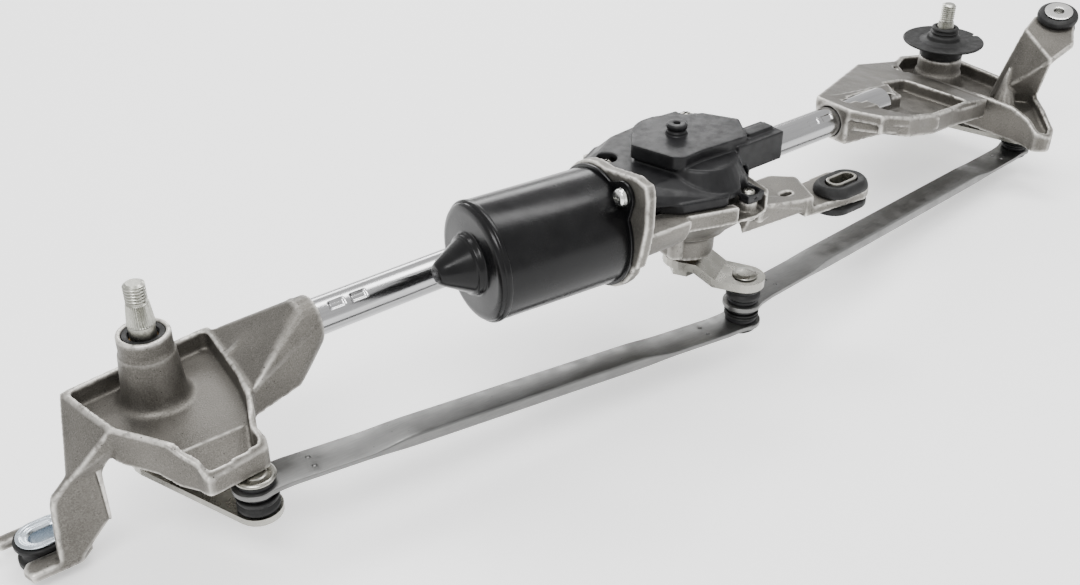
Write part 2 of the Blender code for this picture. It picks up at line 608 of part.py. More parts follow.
def gear_cover():
    edge = inset(CASE_FRONT + CASE_REAR, 2.2)
    # The front of the skirt keeps clear of the notch and its screw post
    edge = edge[:2] + [(248, -74.5), (273, -82.5), (278, -72.5), (296, -72.5), (303, -66)] + edge[8:]
    low, shoulder_z, deck = RIM_TOP + GAP, 37.0, 44.0
    body = slab(rounded(edge, 3.0), low, shoulder_z)
    x, y = OUTPUT
    top = [
        (236, -26), (246, -12), (262, -3), (284, -3), (300, 1), (314, 0), (320, -10), (322, -46), (300, -58),
        (240, -60), (219, -56), (218, -37),
    ]  # fmt: skip
    base = [(*point, shoulder_z - 1) for point in inset(edge, 0.5)]
    body = joined(body, hull(base + [(*point, deck) for point in top]))
    bulge = [(0, 48), (18.5, 48), (19.5, 47), (25.0, 37), (25.5, 35), (25.5, 33), (0, 33)]
    body = joined(body, turned(bulge, upright(278, -54), steps=36))
    dome = [(0, 51.5), (14, 51), (19, 49), (22.5, 45), (24, 41), (0, 41)]
    body = joined(body, turned(dome, upright(283, -33), steps=28))
    pad = [(249, -33), (256, -57), (261, -61), (273, -60), (304, -62), (316, -44), (306, -26)]
    pad = pad + arc((277, -35), 22.0, 35, 150, 8)
    body = joined(body, slab(rounded(pad, 2.0), 46.5, 54.0))
    body = joined(body, slab(rounded(inset(pad, 2.0), 1.5), 40.0, 47.0))
    post = [(0, 60), (4.6, 60), (5.5, 59.4), (5.5, 57.6), (4.9, 57.2), (4.9, 56)]
    post += [(5.5, 55.6), (5.5, 53), (0, 53)]
    body = joined(body, turned(post, upright(277, -37), steps=24))
    body = joined(body, box((296, -64, 34), (330, -47, 50)))
    body = joined(body, box((309, -59, 49), (327, -52, 52)))
    rib = [(218, 33), (244, 33), (218, 46)]
    body = joined(body, slab(rib, 64.5, 67.0, SIDE))
    # Front screw's lug: a tongue of the skirt over its post
    body = joined(body, slab([(284, -84.5), (296, -84.5), (296, -70), (284, -70)], low, low + 3))
    body = joined(body, slab([(284.5, -84.2), (295.5, -84.2), (295.5, -77.4), (284.5, -77.4)], 28.8, low + 1))
    body = cut(body, cone((290, -79, 30.3), (290, -79, 60), 5.0, sides=20))
    # Hollow inside: over the wheel, over the worm and its front bearing, and under the pad
    room = inset(CASE_FRONT + CASE_REAR, 6.0)
    room = room[:2] + [(250, -70), (270, -74), (274, -68), (298, -66)] + room[8:]
    body = cut(body, slab(rounded(room, 3.0), 20, 36.2))
    attic = [(226, -40), (242, -22), (262, -9), (300, -4), (314, -8), (316, -44), (300, -53), (244, -54)]
    body = cut(body, slab(attic[::-1], 30, 41.0))
    body = cut(body, slab(inset(pad, 5.0), 38, 51.5))
    body = cut(body, turned([(0, 52), (7.2, 52), (7.2, -26), (9.5, -26), (9.5, -60), (0, -60)], MOTOR))
    # Rear screws stand on posts, in counterbores sunk through the deck
    for px, py in COVER_SCREWS[:2]:
        body = joined(body, cone((px, py, low + 0.1), (px, py, 39.5), 7.4, sides=20))
        body = cut(body, cone((px, py, 38.2), (px, py, 60), 5.7, sides=20))
    body = cut(body, box((313, -61.5, 36.5), (340, -49.5, 47.5)))
    for px, py in COVER_SCREWS:
        body = cut(body, cone((px, py, 20), (px, py, 70), 2.0, sides=16))
    return finished("gear_cover", body, "black_plastic")


def connector_pins():
    """Header pressed into the bottom of the connector's cup, with its five blades."""
    body = box((313.3, -61.2, 36.8), (315.5, -49.8, 47.2))
    for i in range(3):
        for z in (39.5, 43.7):
            y = -59.0 + 3.5 * i
            body = joined(body, box((315, y - 0.8, z - 0.3), (326, y + 0.8, z + 0.3)))
    return finished("connector_pins", body, "copper")


def motor_can():
    outer = [
        (0, -42.9), (29.45, -42.9), (29.45, -109.5), (28.3, -112.3), (25.5, -113.5), (15.2, -113.5),
        (14.6, -116.5), (13.4, -117.4), (6.4, -129.8), (4.0, -132.2), (0, -132.6),
    ]  # fmt: skip
    body = turned(outer, MOTOR, steps=32)
    flange = []
    for px, py in MOTOR_SCREWS:
        heading = math.degrees(math.atan2(py, px))
        flange += arc((px, py), 7.5, heading - 75, heading + 75, 8)
        flange += arc((0, 0), 31.0, heading + 20, heading + 160, 14)
    body = joined(body, slab(flange, CAN_FRONT - 1.8, CAN_FRONT, MOTOR))
    bore = CAN_RADIUS - CAN_WALL
    inner = [(0, -30), (bore, -30), (bore, -108), (24.5, -111.5), (0, -111.5)]
    body = cut(body, turned(inner, MOTOR, steps=32))
    nose = [(0, -110), (7.0, -110), (7.0, -122), (4.5, -128.5), (0, -128.5)]
    body = cut(body, turned(nose, MOTOR, steps=24))
    for px, py in MOTOR_SCREWS:
        hole = [(0, -30), (2.4, -30), (2.4, -50), (0, -50)]
        body = cut(body, turned(hole, MOTOR @ Matrix.Translation((px, py, 0)), steps=20))
    return finished("motor_can", body, "black_paint")


def magnets():
    made = []
    for name, turn in (("upper", 90), ("lower", 270)):
        outer = arc((0, 0), CAN_RADIUS - CAN_WALL - GAP, turn - 62, turn + 62, 14)
        inner = arc((0, 0), 23.2, turn + 62, turn - 62, 14)
        made.append(finished(f"magnet_{name}", slab(outer + inner, -104, -64, MOTOR), "magnet"))
    return made


def brush_gear():
    plate = slab(arc((0, 0), 26.8, 0, 352.5, 47), -47.0, -44.8, MOTOR)
    plate = cut(plate, turned([(0, -40), (13.0, -40), (13.0, -50), (0, -50)], MOTOR))
    for side in (-1, 1):
        low, high = sorted((13.5 * side, 24.5 * side))
        holder = slab([(low, -4.5), (high, -4.5), (high, 4.5), (low, 4.5)], -56, -46, MOTOR)
        bore = slab([(low - 2, -3.0), (high + 2, -3.0), (high + 2, 3.0), (low - 2, 3.0)], -54.5, -48.5, MOTOR)
        plate = joined(plate, cut(holder, bore))
    made = [finished("brush_holder", plate, "nylon")]
    for name, side in (("front", -1), ("rear", 1)):
        low, high = sorted((11.4 * side, 22.0 * side))
        carbon = [(low, -2.7), (high, -2.7), (high, 2.7), (low, 2.7)]
        made.append(finished(f"brush_{name}", slab(carbon, -54.2, -48.8, MOTOR), "magnet"))
    return made


def armature():
    shaft = [
        (0, 50.3), (3.0, 50.3), (3.9, 49.5), (3.9, 47.5), (4.1, 47), *worm_thread(24.0, 46.5, 2.8),
        (4.1, 23.5), (3.9, 23), (3.9, -127), (3.3, -127.8), (0, -127.8),
    ]  # fmt: skip
    made = [finished("armature_shaft", turned(shaft, MOTOR, steps=12), "steel")]
    slots = 10
    outline = []
    for i in range(slots):
        start = 360 / slots * i
        outline += arc((0, 0), 22.5, start + 4, start + 32, 2)
        outline += arc((0, 0), 13.0, start + 34, start + 38, 1)
    core = slab(outline, -102, -66, MOTOR)
    core = cut(core, turned([(0, 0), (4.2, 0), (4.2, -120), (0, -120)], MOTOR, steps=24))
    made.append(finished("armature_core", core, "steel"))
    commutator = turned(ring(11.0, 4.2, -60, -46), MOTOR, closed=True, steps=24)
    made.append(finished("commutator", commutator, "copper"))
    return made


def worm_thread(low, high, pitch):
    """The worm's outline, from its top down: one crest and one root in each pitch."""
    points = []
    for i in range(int((high - low) / pitch)):
        top = high - i * pitch
        points += [(WORM_RADIUS - 1.3, top - 0.1), (WORM_RADIUS, top - 0.5 * pitch)]
    return points


def bearings():
    front = turned(ring(6.0, 4.2, -41.5, -31), MOTOR, closed=True)
    rear = turned(ring(6.7, 4.2, -121, -112), MOTOR, closed=True)
    return [
        finished("armature_bearing_front", front, "bronze"),
        finished("armature_bearing_rear", rear, "bronze"),
    ]


def pivot_bush(name, place, outer, inner, low, high):
    return finished(name, turned(ring(outer, inner, low, high), upright(*place), closed=True), "bronze")


def gear_train():
    teeth = []
    for i in range(WHEEL_TEETH):
        for radius, part in ((WHEEL_RADIUS - 1.4, -0.5), (WHEEL_RADIUS, 0.0)):
            angle = (i + part) * 2 * math.pi / WHEEL_TEETH
            teeth.append((radius * math.cos(angle), radius * math.sin(angle)))
    x, y = OUTPUT
    wheel = slab(teeth, WHEEL_BOTTOM, WHEEL_TOP, upright(x, y))
    wheel = cut(wheel, cone((x, y, 20), (x, y, 40), 5.3))
    shaft = [(0, 37.6), (4.4, 37.6), (5.0, 37.0), (5.0, -33.0), (4.2, -33.8), (0, -33.8)]
    nut = slab(arc((0, 0), 7.9, 0, 300, 5), -32.6, -26.3, upright(x, y))
    nut = cut(nut, cone((x, y, -40), (x, y, -20), 5.3))
    return [
        finished("worm_wheel", wheel, "nylon"),
        finished("output_shaft", turned(shaft, upright(x, y)), "steel"),
        finished("crank_nut", nut, "zinc"),
    ]


def crank():
    """Forged plate: its inner end on the shaft, then a step down to the ball end."""
    low, high = CRANK_TOP - CRANK_THICKNESS, CRANK_TOP
    side = [(-13, high + JOGGLE), (10, high + JOGGLE), (21.5, high), (48, high), (48, low), (20, low)]
    side += [(8.5, low + JOGGLE), (-13, low + JOGGLE)]
    x, y = OUTPUT
    along = axes((x, y, 0), (*CRANK_DIRECTION, 0), (0, 0, 1))
    body = slab(side[::-1], -20, 20, along)
    outline = tapered_bar((0, 0), (CRANK_THROW, 0), 12.0, 11.2)
    turn = axes((x, y, 0), (*CRANK_DIRECTION, 0), (-CRANK_DIRECTION.y, CRANK_DIRECTION.x, 0))
    body = shared(body, slab(outline, -60, 0, turn))
    body = cut(body, cone((x, y, -40), (x, y, 0), 5.3))
    bx, by = CRANK_BALL
    body = cut(body, cone((bx, by, -40), (bx, by, 0), 4.3))
    head = [(0, 1.8), (4.5, 1.5), (6.6, 0.7), (7.0, 0.0), (4.0, 0.0)]
    stud = [(r, h + CRANK_TOP + GAP) for r, h in head]
    stud += [(4.0, low - GAP), (6.0, low - GAP), (6.0, low - 2.0), (NECK_RADIUS, low - 2.6)]
    stud += ball_profile(RIGHT_LINK_AT_CRANK) + ball_profile(LEFT_LINK_AT_CRANK)
    stud[-1] = (0, LEFT_LINK_AT_CRANK - BALL_RADIUS)
    return [
        finished("crank_arm", body, "zinc"),
        finished("crank_ball_stud", turned(stud, upright(bx, by), steps=16), "zinc"),
    ]


def ball_profile(height):
    """A ball on a neck, from its top down."""
    first = math.degrees(math.acos(NECK_RADIUS / BALL_RADIUS))
    made = arc((0, 0), BALL_RADIUS, first, -first, 4)
    return [(r, height + h) for r, h in made]


def socket(name, place, height, half, outer, closed_end=0):
    """Plastic ring, hollow to hold the ball, with a lip above and below the link's eye.

    closed_end is 1 where its top is a closed dome, -1 where its bottom is, and 0 where it is open.
    """
    turn = closed_end or 1
    reach = arc((0, 0), BALL_RADIUS + 2 * GAP, -40, 40, 3)
    lip = outer + 1.3
    eye = LINK_THICKNESS / 2 + GAP
    shell = [(lip - 1, half), (lip, half - 0.6), (lip, eye), (outer, eye), (outer, -eye), (lip, -eye)]
    shell += [(lip, 0.6 - half), (lip - 1, -half)]
    if closed_end:
        # Domed over the ball: drawn with the dome up, and turned over for a closed bottom
        hollow = arc((0, 0), BALL_RADIUS + 2 * GAP, -40, 90, 4)
        profile = [(0, half + 2.2), (4.5, half + 1.8), (7.0, half + 0.7)] + shell
        profile += [(hollow[0][0] + 0.4, -half)] + hollow[:-1] + [(0, BALL_RADIUS + 2 * GAP)]
        profile = [(r, height + turn * h) for r, h in profile]
        made = turned(profile if turn > 0 else profile[::-1], upright(*place), steps=12)
    else:
        profile = shell + [(reach[0][0] + 0.4, -half)] + reach + [(reach[-1][0] + 0.4, half)]
        made = turned([(r, height + h) for r, h in profile], upright(*place), closed=True, steps=12)
    return finished(name, made, "black_plastic")


def link_rod(name, start, end, start_z, end_z):
    """Steel strip with a flat eye at each end and a deeper boxed middle."""
    start, end = Vector(start), Vector(end)
    length = (end - start).length
    heading = (end - start).normalized()
    side_frame = axes((*start, 0), (*heading, 0), (0, 0, 1))
    half = LINK_THICKNESS / 2
    flat = 16.0
    line = [(-14, start_z), (flat, start_z), (length - flat, end_z), (length + 14, end_z)]
    side = [(x, z - half) for x, z in line] + [(x, z + half) for x, z in line[::-1]]
    body = slab(side, -20, 20, side_frame)
    turn = axes((*start, 0), (*heading, 0), (-heading.y, heading.x, 0))
    plan = arc((0, 0), 11.0, 60, 300, 10) + arc((length, 0), 11.0, -120, 120, 10)
    neck = flat - 2.5
    outline = plan[:11] + [(neck, -LINK_WIDTH / 2), (length - neck, -LINK_WIDTH / 2)] + plan[11:]
    outline += [(length - neck, LINK_WIDTH / 2), (neck, LINK_WIDTH / 2)]
    body = shared(body, slab(outline, -100, 0, turn))

    def z_at(x):
        return start_z + (end_z - start_z) * (x - flat) / (length - 2 * flat)

    reach = 58.0
    boxed = []
    slope = reach + 22
    sections = ((reach, 8.4, 0.9), (slope, 7.6, 3.2), (length - slope, 7.6, 3.2), (length - reach, 8.4, 0.9))
    for x, wide, deep in sections:
        for y in (-wide, wide):
            for z in (-deep, deep):
                edge = start + x * heading + y * Vector((-heading.y, heading.x))
                boxed.append((edge.x, edge.y, z_at(x) + z))
    body = joined(body, hull(boxed))
    for place in (start, end):
        body = cut(body, cone((*place, -100), (*place, 0), 7.8))
    return finished(name, body, "steel")


def boot(name, place, low, high, outer):
    """Rubber ring around a ball stud's neck, waisted in the middle where it is tall enough."""
    middle = (low + high) / 2
    shell = [(outer, high), (outer - 1.2, middle), (outer, low), (6.6, low), (6.6, high)]
    return finished(name, turned(shell, upright(*place), closed=True), "rubber")


def links():
    crank_low = CRANK_TOP - CRANK_THICKNESS
    made = [
        link_rod("left_link_rod", CRANK_BALL, LEFT_BALL, LEFT_LINK_AT_CRANK, LEFT_LINK_AT_LEVER),
        link_rod("right_link_rod", CRANK_BALL, RIGHT_BALL, RIGHT_LINK_AT_CRANK, RIGHT_LINK_AT_LEVER),
        socket("left_link_crank_socket", CRANK_BALL, LEFT_LINK_AT_CRANK, 4.4, 7.5, -1),
        socket("right_link_crank_socket", CRANK_BALL, RIGHT_LINK_AT_CRANK, 4.4, 7.5),
        socket("left_link_lever_socket", LEFT_BALL, LEFT_LINK_AT_LEVER, 4.4, 7.5),
        socket("right_link_lever_socket", RIGHT_BALL, RIGHT_LINK_AT_LEVER, 4.4, 7.5, -1),
        boot("left_link_crank_boot", CRANK_BALL, LEFT_LINK_AT_CRANK + 4.7, RIGHT_LINK_AT_CRANK - 4.7, 9.6),
        boot("right_link_crank_boot", CRANK_BALL, RIGHT_LINK_AT_CRANK + 4.7, crank_low - 0.6, 9.6),
        boot("left_link_lever_boot", LEFT_BALL, LEFT_LEVER_TOP + 0.6, LEFT_LINK_AT_LEVER - 4.7, 10.0),
    ]
    lever_low = RIGHT_LEVER_TOP - LEVER_THICKNESS
    made.append(boot("right_link_lever_boot", RIGHT_BALL, RIGHT_LINK_AT_LEVER + 4.7, lever_low - 0.6, 9.6))
    # Ball studs at the levers' ends. Each stands on its lever with a small gap all round.
    z = LEFT_LINK_AT_LEVER
    left = [(0, z + BALL_RADIUS)] + ball_profile(z)[2:]
    flange = [(NECK_RADIUS, 2.2), (6.0, 1.8), (6.0, GAP), (0, GAP)]
    left += [(r, LEFT_LEVER_TOP + h) for r, h in flange]
    made.append(finished("left_link_ball_stud", turned(left, upright(*LEFT_BALL), steps=16), "zinc"))
    z = RIGHT_LINK_AT_LEVER
    right = [(0, lever_low - GAP), (6.0, lever_low - GAP), (6.0, lever_low - 1.8)]
    right += [(NECK_RADIUS, lever_low - 2.2)]
    right += ball_profile(z)[:-2] + [(0, z - BALL_RADIUS)]
    made.append(finished("right_link_ball_stud", turned(right, upright(*RIGHT_BALL), steps=16), "zinc"))
    cap = [(0, 6.6), (8.0, 6.4), (9.6, 5.6), (9.8, 4.7), (0, 4.7)]
    cap = [(r, LEFT_LINK_AT_LEVER + 0.2 + h) for r, h in cap]
    made.append(finished("left_link_cap", turned(cap, upright(*LEFT_BALL)), "zinc"))
    return made


def pivot(side, place, ball, top, lever_top):
    """Threaded and knurled shaft, the lever riveted to its foot, and the rivet at the lever's end."""
    thread_low = top - 9.4 if side == "left" else top - 12.0
    knurl_low = 20.7 if side == "left" else 3.4
    shaft = [(0, top), (4.0, top), (THREAD_RADIUS - 0.2, top - 0.9)]
    crest = top - 0.9 - THREAD_PITCH / 2
    while crest > thread_low + THREAD_PITCH:
        shaft += [(THREAD_RADIUS - 0.8, crest), (THREAD_RADIUS, crest - THREAD_PITCH / 2)]
        crest -= THREAD_PITCH
    foot = lever_top - LEVER_THICKNESS - 1.5
    shaft += [(4.3, thread_low + 0.8), (4.3, thread_low), (5.2, thread_low - 0.8)]
    shaft += [(SHAFT_RADIUS + 0.4, knurl_low + 2.5), (SHAFT_RADIUS, knurl_low + 1.0)]
    shaft += [(SHAFT_RADIUS, foot), (0, foot)]
    spindle = turned(shaft, upright(*place), steps=16)
    lever = slab(tapered_bar(place, ball, 17.0, 11.0, 12), lever_top - LEVER_THICKNESS, lever_top)
    lever = cut(lever, cone((*place, -80), (*place, 0), SHAFT_RADIUS + GAP))
    lever = cut(lever, cone((*ball, -80), (*ball, 0), 3.8, sides=24))
    under = -LEVER_THICKNESS
    head = [(0, -GAP), (3.5, -GAP), (3.5, under - GAP), (6.5, under - GAP)]
    head += [(5.8, under - 1.5), (0, under - 1.9)]
    if side == "right":
        head = [(r, under - h) for r, h in head[::-1]]
    rivet = turned([(r, lever_top + h) for r, h in head], upright(*ball), steps=16)
    return [
        finished(f"{side}_pivot_shaft", spindle, "steel"),
        finished(f"{side}_lever", lever, "zinc"),
        finished(f"{side}_lever_rivet", rivet, "zinc"),
    ]


def seals():
    left = turned(ring(9.7, 6.9, 14.5, 17.2), upright(*LEFT_PIVOT), closed=True)
    disc = [
        (8.0, 8.2), (9.3, 7.8), (9.8, 6.6), (8.6, 5.6), (10.2, 4.4), (9.2, 3.2), (11.5, 1.6), (12.0, -1.2),
        (17.0, -2.6), (28.0, -1.6), (29.0, -2.2), (28.6, -3.4), (20.0, -4.6), (15.4, -5.0), (15.4, -13.7),
        (9.0, -13.7), (9.0, 2.0), (6.9, 4.0), (6.9, 8.2),
    ]  # fmt: skip
    right = turned(disc, upright(*RIGHT_PIVOT), closed=True, steps=20)
    x, y = RIGHT_PIVOT.x + 27.5, RIGHT_PIVOT.y - 9.5
    notch = cone((x, y, -8), (x, y, 2), 2.5, sides=12)
    right = cut(right, notch)
    return [finished("left_seal", left, "rubber"), finished("right_boot", right, "rubber")]


def oval_pad(name, centre, half_length, half_width, levels, hole, frame, look):
    """Stacked ovals. levels lists (inset from the outline, low, high) and hole holds the hole's halves."""
    body = None
    for step, low, high in levels:
        layer = slab(oval(centre, half_length - step, half_width - step), low, high, frame)
        body = joined(body, layer) if body else layer
    low, high = min(level[1] for level in levels) - 1, max(level[2] for level in levels) + 1
    body = cut(body, slab(oval(centre, *hole), low, high, frame))
    return finished(name, body, look)


def feet():
    lx, ly = LEFT_FOOT
    left_levels = [(0, -75.7, -72.6), (3.0, -82.0, -75), (0.6, -86.0, -81.3)]
    made = [
        oval_pad("left_grommet", (lx, ly), 15.0, 11.5, left_levels, (9.3, 6.3), None, "rubber"),
        left_foot_washer(),
    ]
    cx, cy = CENTRE_FOOT.xy
    centre_levels = [(2.5, 12.0, 16.0), (0, 10.3, 12.2), (5.5, 3.9, 10.8), (0.0, 0.0, 4.2)]
    made.append(oval_pad("centre_grommet", (cx, cy), 17.0, 11.5, centre_levels, (10.3, 5.3), None, "rubber"))
    sleeve = slab(oval((cx, cy), 10.0, 5.0), -2.0, 16.6)
    sleeve = cut(sleeve, slab(oval((cx, cy), 8.4, 3.4), -5, 20))
    made.append(finished("centre_sleeve", sleeve, "zinc"))
    grommet = [(11.0, 6.0), (13.6, 5.0), (14.0, 2.2), (13.4, GAP), (7.9, GAP), (7.9, -4.3), (13.0, -4.3)]
    grommet += [(13.4, -8.0), (12.0, -9.0), (5.8, -9.0), (5.8, 6.0)]
    made.append(finished("right_grommet", turned(grommet, foot_axes(), closed=True), "rubber"))
    sleeve = [(9.5, 7.2), (9.5, 6.3), (5.5, 6.3), (5.5, -9.8), (3.6, -9.8), (3.6, 7.2)]
    made.append(finished("right_sleeve", turned(sleeve, foot_axes(), closed=True), "zinc"))
    return made


def left_foot_washer():
    """Oval cup washer on the grommet, drawn down through it as the bolt's sleeve."""
    centre = tuple(LEFT_FOOT)
    body = slab(oval(centre, 13.5, 10.0), -72.3, -71.3)
    body = joined(body, slab(oval(centre, 9.0, 6.0), -87.0, -71.8))
    body = cut(body, slab(oval(centre, 7.6, 4.2), -90, -60))
    return finished("left_foot_washer", body, "zinc")


def hang(name, place, *pieces):
    """Puts an empty on a joint's axis and the moving pieces under it."""
    pivot_empty = bpy.data.objects.new(name, None)
    PARTS.objects.link(pivot_empty)
    pivot_empty.location = place
    bpy.context.view_layer.update()
    for piece in pieces:
        piece.parent = pivot_empty
        piece.matrix_parent_inverse = pivot_empty.matrix_world.inverted()


def build():
    left_housing()
    right_housing()
    cross_tube()
    gear_housing()
    tube_clamp()
    screws()
    gear_cover()
    connector_pins()
    motor_can()
    magnets()
    brush_gear()
    bearings()
    seals()
    feet()
    pivot_bush("left_pivot_bush", LEFT_PIVOT, 8.0, SHAFT_RADIUS + GAP, -43, 13.8)
    pivot_bush("right_pivot_bush", RIGHT_PIVOT, 8.0, SHAFT_RADIUS + GAP, -51, -14.2)
    pivot_bush("output_bush", OUTPUT, 7.5, 5.3, -17.5, 26.5)
    hang("armature_axis", PLACED @ MOTOR_POINT, *armature())
    hang("crank_axis", PLACED @ Vector((*OUTPUT, 0)), *gear_train(), *crank())
    moving = links()
    hang("link_axis", PLACED @ Vector((*CRANK_BALL, 0)), *moving)
    left = pivot("left", LEFT_PIVOT, LEFT_BALL, LEFT_SHAFT_TOP, LEFT_LEVER_TOP)
    hang("left_pivot_axis", PLACED @ Vector((*LEFT_PIVOT, 0)), *left)
    right = pivot("right", RIGHT_PIVOT, RIGHT_BALL, RIGHT_SHAFT_TOP, RIGHT_LEVER_TOP)
    hang("right_pivot_axis", PLACED @ Vector((*RIGHT_PIVOT, 0)), *right)


build()
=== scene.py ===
"""Looks of the windshield wiper assembly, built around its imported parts.

Lengths are millimetres in the part's drawing datum until PLACED turns them into the frame's metres:
X along the cross tube from the left pivot, +Z along the pivot shafts, y = z = 0 on the tube's axis.
"""

import json
import math

import bmesh
import bpy
from mathutils import Matrix, Vector


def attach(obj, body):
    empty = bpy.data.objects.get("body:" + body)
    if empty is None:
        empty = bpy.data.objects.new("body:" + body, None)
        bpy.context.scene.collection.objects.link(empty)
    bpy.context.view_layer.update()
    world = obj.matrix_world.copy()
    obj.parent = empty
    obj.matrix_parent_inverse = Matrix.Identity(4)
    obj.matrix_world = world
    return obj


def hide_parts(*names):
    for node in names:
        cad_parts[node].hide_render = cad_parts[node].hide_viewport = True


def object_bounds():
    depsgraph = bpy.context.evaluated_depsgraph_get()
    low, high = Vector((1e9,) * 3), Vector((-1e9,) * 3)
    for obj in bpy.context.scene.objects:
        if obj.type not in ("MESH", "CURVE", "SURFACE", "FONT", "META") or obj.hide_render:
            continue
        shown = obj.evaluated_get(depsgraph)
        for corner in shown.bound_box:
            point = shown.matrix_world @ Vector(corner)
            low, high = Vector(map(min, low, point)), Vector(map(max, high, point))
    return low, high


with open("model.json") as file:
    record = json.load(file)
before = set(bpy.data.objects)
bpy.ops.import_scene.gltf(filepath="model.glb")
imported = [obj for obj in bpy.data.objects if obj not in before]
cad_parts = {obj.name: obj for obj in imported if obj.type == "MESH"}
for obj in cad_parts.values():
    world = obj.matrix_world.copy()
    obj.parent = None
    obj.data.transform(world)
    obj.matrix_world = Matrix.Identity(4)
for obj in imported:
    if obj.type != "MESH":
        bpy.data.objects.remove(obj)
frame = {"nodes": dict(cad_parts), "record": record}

CAD_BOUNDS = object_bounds()
PLACED = Matrix.Scale(0.001, 4) @ Matrix.Translation((-366.0, 78.0, 2.0))
GAP = 0.3

LEFT_PIVOT = (0.0, 12.2)
RIGHT_PIVOT = (628.7, 47.7)
LEFT_BALL = (16.9, -49.8)
RIGHT_BALL = (642.6, -17.9)
CRANK_BALL = (305.284, -68.549)
LEFT_FOOT = (-61.0, 18.0)
CENTRE_FOOT = (366.0, -78.0)
RIGHT_FOOT = Vector((675.0, -11.0, 20.0))
FOOT_RISE = (0.2734, 0.1788)
MOTOR_POINT = (250.0, -60.0, 31.8)
MOTOR_YAW = math.radians(-5.59)
CAN_RADIUS = 29.45
CAN_FRONT = -42.3
MOTOR_SCREWS = ((-22.8, 25.8), (22.8, -25.8))
COVER_SCREWS = {"left": (243, -21, 38.5), "rear": (318, -2, 38.5), "front": (290, -79, 30.6)}
CLAMP_SCREWS = {"left": 270.0, "right": 298.0}

NODE_BODY = {}
for body_name, members in frame["record"]["behaviour"]["bodies"].items():
    for member in members:
        NODE_BODY[member] = body_name
NODE_SLOT = {entry["node"]: entry["material_slot"] for entry in frame["record"]["subparts"]}


# Materials. Texture scales are per metre: 1000 gives features about a millimetre across.


class Surface:
    """A Principled material and short ways to add texture to it."""

    def __init__(self, name, metallic, roughness, colour=(0.5, 0.5, 0.5)):
        self.material = bpy.data.materials.new(name)
        self.material.use_nodes = True
        self.tree = self.material.node_tree
        self.shader = self.tree.nodes["Principled BSDF"]
        self.shader.inputs["Metallic"].default_value = metallic
        self.shader.inputs["Roughness"].default_value = roughness
        self.shader.inputs["Base Color"].default_value = (*colour, 1)
        self.where = self.tree.nodes.new("ShaderNodeTexCoord").outputs["Object"]
        self.normal = None

    def noise(self, scale, stretch=(1, 1, 1), detail=4.0, turn=0.0):
        mapping = self.tree.nodes.new("ShaderNodeMapping")
        mapping.inputs["Scale"].default_value = stretch
        mapping.inputs["Rotation"].default_value = (0, 0, turn)
        self.tree.links.new(self.where, mapping.inputs["Vector"])
        made = self.tree.nodes.new("ShaderNodeTexNoise")
        made.inputs["Scale"].default_value = scale
        made.inputs["Detail"].default_value = detail
        self.tree.links.new(mapping.outputs["Vector"], made.inputs["Vector"])
        return made.outputs["Fac"]

    def specks(self, scale, size):
        """1 in small round spots, 0 between them."""
        made = self.tree.nodes.new("ShaderNodeTexVoronoi")
        made.inputs["Scale"].default_value = scale
        self.tree.links.new(self.where, made.inputs["Vector"])
        return self.span(made.outputs["Distance"], size, size * 0.5)

    def edges(self, low, high):
        """1 on outside edges, where the surface wears bright."""
        geometry = self.tree.nodes.new("ShaderNodeNewGeometry")
        return self.span(geometry.outputs["Pointiness"], low, high)

    def span(self, value, low, high, to_low=0.0, to_high=1.0):
        made = self.tree.nodes.new("ShaderNodeMapRange")
        made.inputs["From Min"].default_value = low
        made.inputs["From Max"].default_value = high
        made.inputs["To Min"].default_value = to_low
        made.inputs["To Max"].default_value = to_high
        self.tree.links.new(value, made.inputs["Value"])
        return made.outputs["Result"]

    def times(self, one, other):
        made = self.tree.nodes.new("ShaderNodeMath")
        made.operation = "MULTIPLY"
        for socket, value in zip(made.inputs, (one, other)):
            if isinstance(value, float):
                socket.default_value = value
            else:
                self.tree.links.new(value, socket)
        return made.outputs[0]

    def colours(self, factor, low, high):
        """A colour that goes from low to high, each a colour or another such result."""
        made = self.tree.nodes.new("ShaderNodeMix")
        made.data_type = "RGBA"
        self.tree.links.new(factor, made.inputs[0])
        for socket, value in ((made.inputs[6], low), (made.inputs[7], high)):
            if isinstance(value, tuple):
                socket.default_value = (*value, 1)
            else:
                self.tree.links.new(value, socket)
        return made.outputs[2]

    def paint(self, colour):
        self.tree.links.new(colour, self.shader.inputs["Base Color"])

    def gloss(self, roughness):
        self.tree.links.new(roughness, self.shader.inputs["Roughness"])

    def relief(self, height, depth, strength=1.0):
        """Raises and sinks the surface by up to depth metres; calls add up."""
        made = self.tree.nodes.new("ShaderNodeBump")
        made.inputs["Strength"].default_value = strength
        made.inputs["Distance"].default_value = depth
        self.tree.links.new(height, made.inputs["Height"])
        if self.normal:
            self.tree.links.new(self.normal, made.inputs["Normal"])
        self.normal = made.outputs["Normal"]
        self.tree.links.new(self.normal, self.shader.inputs["Normal"])


